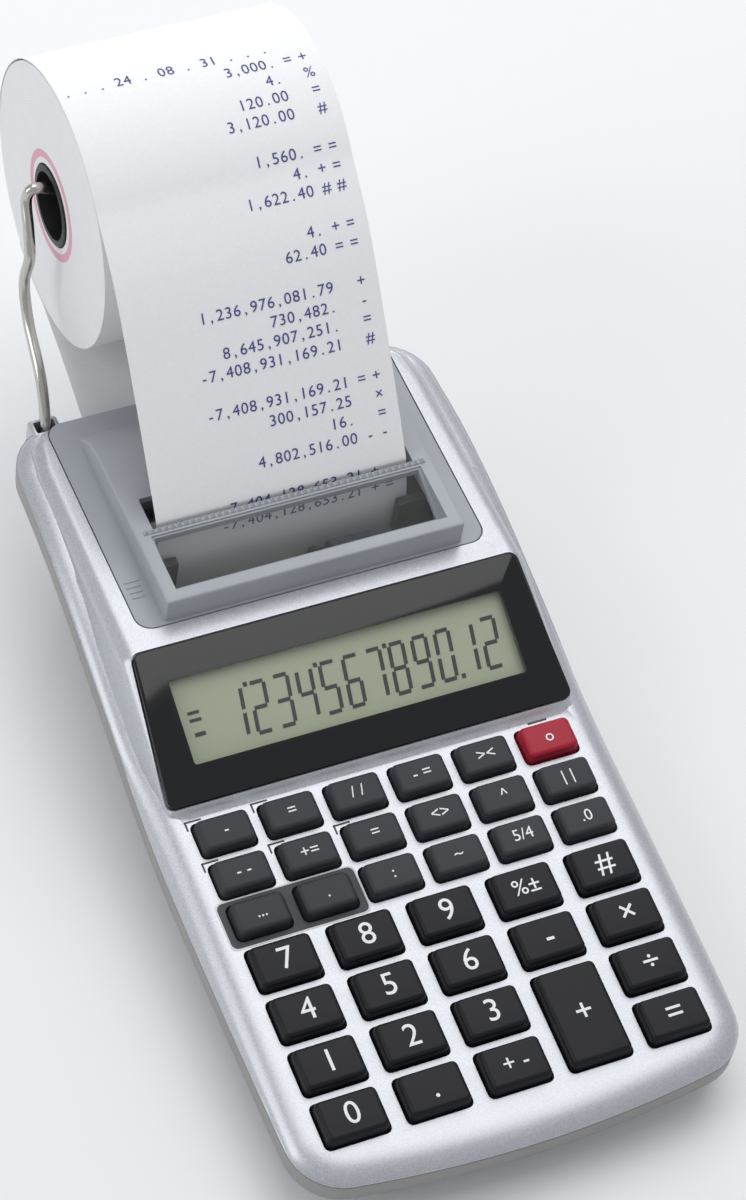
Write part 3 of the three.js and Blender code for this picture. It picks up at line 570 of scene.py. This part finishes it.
key_draft, key_edge, flange_out = 0.9, 0.95, 0.55
for name, (x, along, w, d, legend) in keys.items():
    large = w == large_width
    cap = block(name + "_cap", (-w / 2, -d / 2, -2.5), (w / 2, d / 2, key_rise), 1.3, 4, "upright")
    select_only(cap)
    bpy.ops.object.mode_set(mode="EDIT")
    mesh = bmesh.from_edit_mesh(cap.data)
    for vertex in mesh.verts:
        if vertex.co.z > 0:
            vertex.co.x *= (w - key_draft) / w
            vertex.co.y *= (d - key_draft) / d
    choose(cap, "EDGE", lambda edge: min(v.co.z for v in edge.verts) > (key_rise - 0.01) * mm)
    bpy.ops.mesh.bevel(offset=key_edge * mm, segments=5, profile=0.5)
    bpy.ops.object.mode_set(mode="OBJECT")
    flange = block("flange", (-w / 2 - flange_out, -d / 2 - flange_out, -3.1),
                   (w / 2 + flange_out, d / 2 + flange_out, -2.35), 1.4, 3, "upright")
    body_finish = key_red if name == "key_on" else key_black if large else key_grey
    finish_with(cap, body_finish)
    finish_with(flange, body_finish)
    ink = letters("legend", legend, 7.0 if large and len(legend) == 1 else 5.0 if large else 3.7)
    finish_with(ink, legend_ink)
    lay(ink, Matrix.Translation((0, 0, key_rise * mm)))
    smooth(cap, 40)
    cap = join(name + "_cap", [cap, flange, ink])
    lay(cap, on_deck(x, along))
    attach(cap, name)
    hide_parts(name)
    "key_red" if name == "key_on" else "key_black" if large else "key_grey"

# ---------------------------------------------------------------- lower case
# The warm grey tub: its band shows under the silver shell all round, and below it the sides tuck
# in to a flat base with the battery bay and the channel of its sliding cover.
grey = moulded("grey_plastic", rgb(143, 141, 140), rgb(157, 155, 153), 0.5)


def tub(inset):
    base = dict(front=6.5, rear=case_length - 13, front_half=46.3, rear_half_width=36, corner=9, bow_side=1)
    rings = [outline(inset + 0.8, lambda y: case_bottom + inset, **base),
             outline(inset + 0.2, lambda y: case_bottom + inset + 0.3, **base),
             outline(inset, lambda y: case_bottom + inset + 1.0, **base)]
    if inset == 0:
        rings += [outline(0.9, lambda y: seam_at(y) - 6.0), outline(0.5, lambda y: seam_at(y) - 5.6),
                  outline(0.1, lambda y: seam_at(y) - 4.8), outline(0.0, lambda y: seam_at(y) - 0.45),
                  outline(0.3, lambda y: seam_at(y) - 0.15)]
    else:
        rings += [outline(inset + 0.5, lambda y: seam_at(y) - 5.6), outline(inset, lambda y: seam_at(y) + 4)]
    return rings


lower = skin_through("lower_case_tub", tub(0))
combine(lower, "DIFFERENCE", skin_through("tub_hollow", tub(wall)))
combine(lower, "UNION", block("channel_roof", (-32.8, -39.7, 2.4), (32.8, 47.6, 5.2)))
combine(lower, "DIFFERENCE", block("channel", (-30.3, -37.2, -1), (30.3, 66, 3.2)),
        block("bay_opening", (-28.5, -34.9, -1), (28.5, 25.5, 6.2)))
smooth(lower)
finish_with(lower, grey)
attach(lower, "case")
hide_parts("lower_case")

# ---------------------------------------------------------------- battery cover, cells and screws
# The cover slides out to the rear, with ridges for the thumb. Four wrapped cells lie across the
# bay, one behind the other, between nickel springs; four screws hold the two shells together.
def rod(name, start, end, radius, sides=32, bevel=0.0, far_radius=None):
    """A turned rod between two points, in millimetres, its rims broken by a small bevel."""
    start, end = Vector(start), Vector(end)
    bpy.ops.object.select_all(action="DESELECT")
    bpy.ops.mesh.primitive_cone_add(vertices=sides, radius1=radius * mm,
                                    radius2=(radius if far_radius is None else far_radius) * mm,
                                    depth=(end - start).length * mm)
    piece = bpy.context.object
    piece.name = piece.data.name = name
    if bevel:
        bpy.ops.object.mode_set(mode="EDIT")
        choose(piece, "EDGE", lambda edge: abs(edge.verts[0].co.z - edge.verts[1].co.z) < 1e-7)
        bpy.ops.mesh.bevel(offset=bevel * mm, segments=2, profile=0.5)
        bpy.ops.object.mode_set(mode="OBJECT")
    turn = (end - start).to_track_quat("Z", "Y").to_matrix().to_4x4()
    return lay(piece, Matrix.Translation((start + end) / 2 * mm) @ turn)


ridges = [block("ridge", (-9 + abs(i - 3) * 0.8, 36.2 + i * 1.5, 1.25),
                (9 - abs(i - 3) * 0.8, 36.9 + i * 1.5, 1.8), 0.15, 2) for i in range(7)]
cover_ridges = join("battery_cover_ridges", ridges)
finish_with(cover_ridges, grey)
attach(cover_ridges, "battery_cover")
nickel = Finish("nickel", rgb(196, 194, 188), 0.24, 1.0)
nickel.set(Roughness=nickel.noise(420, 3) * 0.14 + 0.17, Base_Color=nickel.mix(
    nickel.noise(90, 3), rgb(186, 183, 176), rgb(206, 204, 199)))
wrapper = moulded("cell_wrapper", rgb(52, 88, 120), rgb(62, 98, 130), 0.3)
cell_front, cell_seat, cell_pitch, cell_z = -34.3, 7.25, 15.1, 10.9
for i in range(4):
    y = cell_front + cell_seat + i * cell_pitch
    facing = 1 if i % 2 else -1
    tube = rod("cell", (-24.3, y, cell_z), (24.3, y, cell_z), 7.2, 40, 0.5)
    tip = rod("tip", (facing * 24.2, y, cell_z), (facing * 25.6, y, cell_z), 2.7, 24, 0.3)
    spring = rod("contact", (-facing * 26.6, y, cell_z), (-facing * 24.4, y, cell_z), 3.0, 24, 0.2, 4.2)
    finish_with(tube, wrapper)
    finish_with(tip, nickel)
    finish_with(spring, nickel)
    for piece in (tube, tip, spring):
        smooth(piece)
    cell = join("battery_cell_%d" % (i + 1), [tube, tip, spring])
    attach(cell, "case")
cross_long, cross_half = 1.5, 0.3
for i, (x, y) in enumerate(((-38, -96), (38, -96), (-24, -46), (24, -46))):
    screw = rod("screw_%d" % (i + 1), (x, y, 1.3), (x, y, 2.6), 2.6, 32, 0.3)
    combine(screw, "DIFFERENCE",
            block("cross", (x - cross_long, y - cross_half, 1.0), (x + cross_long, y + cross_half, 1.9)),
            block("cross", (x - cross_half, y - cross_long, 1.0), (x + cross_half, y + cross_long, 1.9)))
    smooth(screw)
    finish_with(screw, nickel)
    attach(screw, "case")

# ---------------------------------------------------------------- display
# A glossy black window, clear over the liquid crystal. The crystal is greenish grey glass whose
# slanted seven-segment figures are nearly black.
lens_black = Finish("lens_black", rgb(12, 12, 14), 0.08, 0.0, Specular_IOR_Level=0.45)
lens_black.set(Roughness=lens_black.noise(30, 3) * 0.04 + 0.05, Base_Color=lens_black.mix(
    lens_black.noise(40, 2), rgb(13, 13, 15), rgb(17, 17, 19)))
lens = lens_block("lens", 0, -1.5, 0, 0.35)
clear_half, clear_low, clear_high = 38, 7.8, 26.2
combine(lens, "DIFFERENCE", block("clear_part", (-clear_half, clear_low, -3), (clear_half, clear_high, 2),
                                  0.6, 3, "upright"))
lay(lens, on_display(0, 0))
smooth(lens)
finish_with(lens, lens_black)
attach(lens, "case")
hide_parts("display_window")
clear = Finish("clear_window", rgb(150, 156, 152), 0.05, 0.0, Alpha=0.07, Specular_IOR_Level=0.3)
clear.set(Roughness=clear.noise(50, 2) * 0.04 + 0.03)
pane_gap = 0.05
pane = lay(block("lens_clear", (pane_gap - clear_half, clear_low + pane_gap, -0.7),
                 (clear_half - pane_gap, clear_high - pane_gap, -pane_gap), 0.5, 3, "upright"),
           on_display(0, 0))
finish_with(pane, clear)
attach(pane, "case")
crystal = Finish("liquid_crystal", rgb(170, 178, 150), 0.25)
crystal.set(Base_Color=crystal.mix(crystal.noise(24, 3), rgb(166, 174, 146), rgb(182, 189, 163)),
            Roughness=crystal.noise(900, 2) * 0.1 + 0.2)
glass = lay(block("crystal_glass", (-39.8, 6.2, -4.6), (39.8, 27.3, -2.3), 0.3, 2), on_display(0, 0))
finish_with(glass, crystal)
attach(glass, "case")
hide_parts("lcd_panel")
segment_ink = moulded("segment_ink", rgb(22, 24, 22), rgb(28, 31, 28), 0.5)
bars = {"a": (0, 1, 0), "b": (0.5, 0.5, 1), "c": (0.5, -0.5, 1), "d": (0, -1, 0), "e": (-0.5, -0.5, 1),
        "f": (-0.5, 0.5, 1), "g": (0, 0, 0)}
lit = {"0": "abcdef", "1": "bc", "2": "abged", "3": "abgcd", "4": "fgbc", "5": "afgcd", "6": "afgedc",
       "7": "abc", "8": "abcdefg", "9": "abcfgd"}
figures = []
digit_width, digit_height, bar_width = 3.1, 10.6, 0.85


def segment(x, y, upright):
    """One bar of a figure: a six-sided plate, pointed at both ends."""
    bpy.ops.object.select_all(action="DESELECT")
    bpy.ops.mesh.primitive_cylinder_add(vertices=6, radius=0.5 * mm, depth=0.06 * mm)
    piece = bpy.context.object
    long = digit_height / 2 - 0.25 if upright else digit_width + 0.35
    for vertex in piece.data.vertices:
        end = 1 if vertex.co.x > 0 else -1
        pointed = abs(vertex.co.y) < 0.01 * mm
        reach = long / 2 if pointed else long / 2 - bar_width * 0.35
        side = 0 if pointed else math.copysign(bar_width / 2, vertex.co.y)
        place = (end * reach * mm, side * mm) if abs(vertex.co.x) > 1e-6 else (0, side * mm)
        vertex.co.x, vertex.co.y = place
    turn = Matrix.Rotation(math.radians(90 if upright else 0), 4, "Z")
    return lay(piece, Matrix.Translation((x * digit_width * mm, y * digit_height / 2 * mm, 0)) @ turn)


slant = Matrix(((1, 0.12, 0, 0), (0, 1, 0, 0), (0, 0, 1, 0), (0, 0, 0, 1)))
left, pitch = -25.2, 5.3
for i, figure in enumerate("123456789012"):
    for bar in lit[figure]:
        x, y, upright = bars[bar]
        piece = segment(x, y, upright)
        figures.append(lay(piece, Matrix.Translation(((left + i * pitch) * mm, 0, 0)) @ slant))
    if i in (0, 3, 6, 9):
        place = left + i * pitch + (2.0 if i == 9 else 3.0)
        height = -5.3 if i == 9 else 5.4
        figures.append(block("point", (place, height - 0.5, -0.03), (place + 0.9, height + 0.5, 0.03), 0.02))
for x, y, w, d in ((-35.6, 2.2, 2.6, 0.7), (-35.6, 0.6, 2.6, 0.7), (-35.4, -2.6, 2.4, 0.9)):
    figures.append(block("indicator", (x, y, -0.03), (x + w, y + d, 0.03), 0.02))
digits = lay(join("crystal_figures", figures), on_display(0, 16.2, -2.24))
finish_with(digits, segment_ink)
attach(digits, "case")

# ---------------------------------------------------------------- printer cover
# One frosted moulding lifts off: a plate that lies flush with the case and a hood over the
# printer, with a clear sloping window that ends at a toothed bar where the paper is torn.
frosted = Finish("frosted_cover", rgb(176, 180, 186), 0.4, 0.0, Alpha=0.84)
frost = frosted.noise(1500, 3)
frosted.set(Base_Color=frosted.mix(frosted.noise(50, 3), rgb(168, 172, 178), rgb(186, 190, 196)),
            Roughness=frost * 0.16 + 0.34)
frosted.bump(frost, 0.3, 0.02 * mm)


def prism(name, profile, half):
    """A profile seen from the side, in millimetres from the front of the case, drawn out evenly."""
    bpy.ops.object.select_all(action="DESELECT")
    bpy.ops.mesh.primitive_circle_add(vertices=len(profile), radius=mm, fill_type="NGON")
    piece = bpy.context.object
    piece.name = piece.data.name = name
    for vertex, (y, z) in zip(piece.data.vertices, profile):
        vertex.co = Vector((-half, y - middle, z)) * mm
    bpy.ops.object.mode_set(mode="EDIT")
    bpy.ops.mesh.select_all(action="SELECT")
    bpy.ops.mesh.extrude_region_move(TRANSFORM_OT_translate={"value": (2 * half * mm, 0, 0)})
    bpy.ops.mesh.select_all(action="SELECT")
    bpy.ops.mesh.normals_make_consistent(inside=False)
    bpy.ops.object.mode_set(mode="OBJECT")
    return piece


cover_half, hood_half, hood_front, hood_back, hood_top, hood_foot = 39.7, 34, 126.5, 178.6, 46.7, 38.6
cover = block("printer_cover_moulding", (-cover_half, cover_low.y, 38.5), (cover_half, cover_high.y, top),
              3.5, 6, "upright")
hood = prism("hood", [(hood_front, hood_foot), (hood_front, hood_top), (166, hood_top), (172, 45.2),
                      (hood_back, 39.6), (hood_back, hood_foot)], hood_half)
modify(hood, "BEVEL", width=1.3 * mm, segments=3, limit_method="ANGLE")
combine(cover, "UNION", hood)
combine(cover, "DIFFERENCE",
        prism("hood_hollow", [(128.2, 36), (128.2, 40.6), (131.4, 41.2), (144.4, 44.9), (165, 44.9),
                              (171, 43.4), (175, 39.8), (175, 36)], 32.2),
        prism("window_recess", [(131.8, 42.5), (127.4, 49.7), (143.7, 49.7), (143.7, 46.3)], 31),
        block("window_opening", (-30.4, 132.2 - middle, 38), (30.4, 143.3 - middle, 50)),
        block("paper_exit", (-29.95, 145.3 - middle, 32), (29.95, 153.8 - middle, 51), 0.4))
smooth(cover)
finish_with(cover, frosted)
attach(cover, "printer_cover")
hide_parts("printer_cover")
window = prism("cover_window", [(131.9, 41.6), (131.9, 42.6), (143.6, 46.4), (143.6, 45.4)], 30.9)
finish_with(window, clear)
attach(window, "printer_cover")
bar_y, tooth_start, tooth_pitch = 144.8 - middle, -31.7, 1.51
teeth = [block("bar", (-32.4, 144.3 - middle, 44.9), (32.4, 145.3 - middle, 46.9), 0.15, 2)]
for i in range(43):
    bpy.ops.object.select_all(action="DESELECT")
    bpy.ops.mesh.primitive_cone_add(vertices=4, radius1=0.8 * mm, depth=0.9 * mm,
                                    rotation=(0, 0, math.radians(45)),
                                    location=((tooth_start + i * tooth_pitch) * mm, bar_y * mm, 47.3 * mm))
    bpy.ops.object.transform_apply(location=True, rotation=True)
    teeth.append(bpy.context.object)
tear_bar = join("tear_bar", teeth)
finish_with(tear_bar, frosted)
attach(tear_bar, "printer_cover")
grip_pitch = 1.4
grips = [block("grip", (-38.4 - i * 0.1, 134 - middle + i * grip_pitch, 39.9),
               (-35.6 + i * 0.1, 134.5 - middle + i * grip_pitch, 40.35), 0.12, 2) for i in range(4)]
grip = join("cover_grip", grips)
finish_with(grip, frosted)
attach(grip, "printer_cover")

# ---------------------------------------------------------------- paper strip and its print
# Thermal-thin paper, 57.5 mm wide: from under the roll through the printer, up past the toothed
# bar and back over the roll. The figures on it are printed in blue-violet ink by the type wheel.
paper_half = 28.75
roll_y, roll_z, roll_radius = 213.895 - middle, 74.2, 31.3
platen_y, platen_z, platen_wrap = 147.395 - middle, 27.0, 4.65


def about(y, z, radius, angle):
    return Vector((y + radius * math.cos(math.radians(angle)), z + radius * math.sin(math.radians(angle))))


def spline(points, count):
    """An even curve through the points."""
    made = []
    for i in range(1, count + 1):
        place = i / count * (len(points) - 1)
        k = min(int(place), len(points) - 2)
        t = place - k
        a, b = points[max(k - 1, 0)], points[k]
        c, d = points[k + 1], points[min(k + 2, len(points) - 1)]
        made.append(0.5 * (2 * b + (c - a) * t + (2 * a - 5 * b + 4 * c - d) * t * t
                           + (3 * b - a - 3 * c + d) * t ** 3))
    return made


def on_roll(angle):
    return about(roll_y, roll_z, roll_radius + 0.45, angle)


path = [on_roll(angle) for angle in range(-62, -91, -4)]
path += spline([on_roll(-90), Vector((roll_y - 14.9, 37.6)), Vector((62.6, 32.4)), Vector((47.1, 27.2)),
                about(platen_y, platen_z, platen_wrap, -74)], 28)
path += [about(platen_y, platen_z, platen_wrap, angle) for angle in range(-82, -181, -8)]
strip_start = len(path)
path += spline([about(platen_y, platen_z, platen_wrap, -180), Vector((platen_y - 4.35, 36.0)),
                Vector((23.0, 45.2)), Vector((25.6, 49.7)), Vector((40.5, 68.6)), Vector((55.6, 86.0)),
                on_roll(136)], 60)
path += [on_roll(angle) for angle in range(132, -13, -4)]
reach = [0.0]
for before, after in zip(path, path[1:]):
    reach.append(reach[-1] + (after - before).length)


def on_paper(across, along, out=0.0):
    """A point on the printed side, along measured from where the paper leaves the platen."""
    goal = reach[strip_start] + along
    k = max(i for i in range(len(path) - 1) if reach[i] <= goal or i == 0)
    t = (goal - reach[k]) / max(reach[k + 1] - reach[k], 1e-6)
    ahead = (path[k + 1] - path[k]).normalized()
    point = path[k].lerp(path[k + 1], t) + Vector((-ahead.y, ahead.x)) * out
    return Vector((across, point.x, point.y)) * mm


bpy.ops.object.select_all(action="DESELECT")
bpy.ops.mesh.primitive_grid_add(x_subdivisions=4, y_subdivisions=len(path) - 1, size=2)
strip = bpy.context.object
strip.name = strip.data.name = "paper_web"
for vertex in strip.data.vertices:
    k = round((vertex.co.y + 1) / 2 * (len(path) - 1))
    vertex.co = Vector((vertex.co.x * paper_half, path[k].x, path[k].y)) * mm
modify(strip, "SOLIDIFY", thickness=0.12 * mm, offset=0)
smooth(strip, 60)
paper = Finish("paper", rgb(243, 243, 244), 0.62)
fibre = paper.noise(1400, 4)
paper.set(Base_Color=paper.mix(fibre, rgb(238, 238, 240), rgb(248, 248, 248)), Roughness=fibre * 0.1 + 0.58)
paper.bump(fibre, 0.25, 0.02 * mm)
finish_with(strip, paper)
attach(strip, "case")
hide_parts("paper_strip")
violet = moulded("printed_ink", rgb(62, 66, 132), rgb(84, 88, 152), 0.7)
printed = [("-7,404,128,653.21", "+ ="), ("-7,404,128,653.21", "+ -"), None,
           ("4,802,516.00", "- -"), ("16.", "="), ("300,157.25", "\u00d7"),
           ("-7,408,931,169.21", "= +"), None,
           ("-7,408,931,169.21", "#"), ("8,645,907,251.", "="), ("730,482.", "-"), ("1,236,976,081.79", "+"),
           None, ("62.40", "= ="), ("4.", "+ ="), None, ("1,622.40", "# #"), ("4.", "+ ="), ("1,560.", "= ="),
           None, ("3,120.00", "#"), ("120.00", "="), ("4.", "%"), ("3,000.", "= +"),
           (". . . 24 . 08 . 31 . . .", "")]
row_start, row_pitch, ink_lift = 14.6, 4.15, 0.14
glyphs = {}


def stamp(sign, across, along):
    """One printed sign, bent to the paper where it stands."""
    if sign not in glyphs:
        glyphs[sign] = letters("glyph", sign, 3.5, "CENTER", 0.004)
    print_mark = glyphs[sign].copy()
    print_mark.data = print_mark.data.copy()
    bpy.context.scene.collection.objects.link(print_mark)
    for vertex in print_mark.data.vertices:
        vertex.co = on_paper(across + vertex.co.x / mm, along + vertex.co.y / mm, ink_lift + vertex.co.z / mm)
    return print_mark


lines = []
for i, entry in enumerate(printed):
    if entry:
        for body, x, step in ((entry[0], 17.6, 1.92), (entry[1], 24.8, 1.7)):
            lines += [stamp(sign, x - k * step, row_start + i * row_pitch)
                      for k, sign in enumerate(reversed(body)) if sign != " "]
for glyph in glyphs.values():
    bpy.data.objects.remove(glyph)
print_rows = join("printed_figures", lines)
finish_with(print_rows, violet)
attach(print_rows, "case")

# ---------------------------------------------------------------- paper roll and its core
# The roll is wound on a black plastic core. Its sides show the layers as fine rings, and the last
# turns near the core carry a pink stripe.
roll_paper = Finish("rolled_paper", rgb(240, 240, 241), 0.65)
parts = [roll_paper.node("SeparateXYZ", {}, {0: roll_paper.place()}, output=i) for i in (1, 2)]
across_y, across_z = parts[0] - roll_y * mm, parts[1] - roll_z * mm
squared = across_y * across_y + across_z * across_z
distance = squared.maths("POWER", squared, 0.5)
layers = distance.maths("FRACT", distance * 1900, 0.0)
faint = roll_paper.mix(layers * 0.7 + roll_paper.noise(300, 3) * 0.3, rgb(224, 224, 227), rgb(246, 246, 247))
pink = (distance > 10.6 * mm) * (distance < 12.4 * mm)
roll_paper.set(Base_Color=roll_paper.mix(pink * 0.75, faint, rgb(222, 138, 160)))
roll_paper.bump(layers, 0.3, 0.06 * mm)
bore_half, core_half = 40, 29.15
wound = rod("wound_paper", (-paper_half, roll_y, roll_z), (paper_half, roll_y, roll_z), roll_radius,
            128, 0.15)
combine(wound, "DIFFERENCE", rod("bore", (-bore_half, roll_y, roll_z), (bore_half, roll_y, roll_z), 9.35, 64))
smooth(wound)
finish_with(wound, roll_paper)
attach(wound, "paper_roll")
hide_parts("paper_roll")
black = moulded("black_plastic", rgb(26, 26, 28), rgb(38, 38, 40), 0.5)
core = rod("core_tube", (-core_half, roll_y, roll_z), (core_half, roll_y, roll_z), 9.05, 64, 0.3)
combine(core, "DIFFERENCE", rod("bore", (-bore_half, roll_y, roll_z), (bore_half, roll_y, roll_z), 7.6, 64))
smooth(core)
finish_with(core, black)
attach(core, "paper_roll")
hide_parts("roll_core")

# ---------------------------------------------------------------- wire arms
# Nickel-plated spring wire, 2.5 mm thick: up from a socket in each rear corner, cranked once, and
# hooked over the rim of the core from outside. Its foot is held in the rear wall of the case.
root_y, wire_radius = 185.195 - middle, 1.25
arm_path = [(wire_x, root_y, 31.1), (wire_x, root_y, 38.1), (37.9, root_y + 5.8, 46.3),
            (37.0, roll_y - 12.1, 52.2), (36.4, roll_y - 6.7, 59.2), (35.8, roll_y - 7, 67.4),
            (35.0, roll_y - 3.3, 72.6), (34.3, roll_y + 0.6, 76.6), (33.5, roll_y + 1.0, 79.3),
            (31.6, roll_y + 0.9, 79.8), (29.15, roll_y + 0.8, 78.9), (24.15, roll_y + 0.6, 77.1)]
for side, name in ((-1, "left"), (1, "right")):
    curve = bpy.data.curves.new("arm", "CURVE")
    curve.dimensions = "3D"
    points = spline([Vector((side * x, y, z)) for x, y, z in arm_path], 110)
    points.insert(0, Vector((side * arm_path[0][0], *arm_path[0][1:])))
    line = curve.splines.new("POLY")
    line.points.add(len(points) - 1)
    for knot, point in zip(line.points, points):
        knot.co = (*(point * mm), 1)
    curve.bevel_depth, curve.bevel_resolution, curve.use_fill_caps = wire_radius * mm, 5, True
    arm = bpy.data.objects.new("wire_arm_" + name, curve)
    bpy.context.scene.collection.objects.link(arm)
    select_only(arm)
    bpy.ops.object.convert(target="MESH")
    arm = bpy.context.object
    smooth(arm, 50)
    finish_with(arm, nickel)
    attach(arm, "holder_arm_" + name)
    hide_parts("holder_arm_" + name)

# ---------------------------------------------------------------- wire sockets
# A small block on each rear corner of the case, in the same silver finish, with a bore that gives
# the wire room to spread to the side.
socket_half, socket_depth, bore_depth = 3.4, 2.6, 1.5
for side, name in ((-1, "left"), (1, "right")):
    x = side * wire_x
    socket = block("wire_socket_" + name, (x - socket_half, root_y - socket_depth, 29.6),
                   (x + socket_half, root_y + socket_depth, 37.2), 0.9, 3)
    combine(socket, "DIFFERENCE", block("bore", (x - wire_bore, root_y - bore_depth, 30.6),
                                        (x + wire_bore, root_y + bore_depth, 40), 0.4, 2))
    smooth(socket)
    finish_with(socket, silver)
    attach(socket, "case")

# ---------------------------------------------------------------- finishes of the inner pieces
# The printer's frame, shafts, gears, motor and carriage, the board, the key mat and the feet have
# their final shape in the frame, and take rubber, felt, steel or moulded plastic here.
rubber = moulded("rubber", rgb(34, 34, 36), rgb(46, 46, 48), 0.75)
felt = moulded("ink_felt", rgb(30, 28, 44), rgb(58, 52, 80), 0.95, 900, 0.3)
gear_plastic = moulded("gear_plastic", rgb(214, 210, 196), rgb(226, 222, 210), 0.45)
board_green = moulded("board_resin", rgb(34, 96, 62), rgb(46, 110, 74), 0.4, 500)
for finish, nodes in (
        (black, ("printer_frame", "print_carriage", "type_wheel")), (felt, ("ink_roller",)),
        (rubber, ("platen_roller", "key_mat", "foot_rear_left", "foot_rear_right")),
        (nickel, ("wheel_shaft", "printer_motor")), (gear_plastic, ("motor_pinion",)),
        (board_green, ("main_board",)), (grey, ("battery_cover",))):
    for node in nodes:
        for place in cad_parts[node].material_slots:
            place.material = finish.material
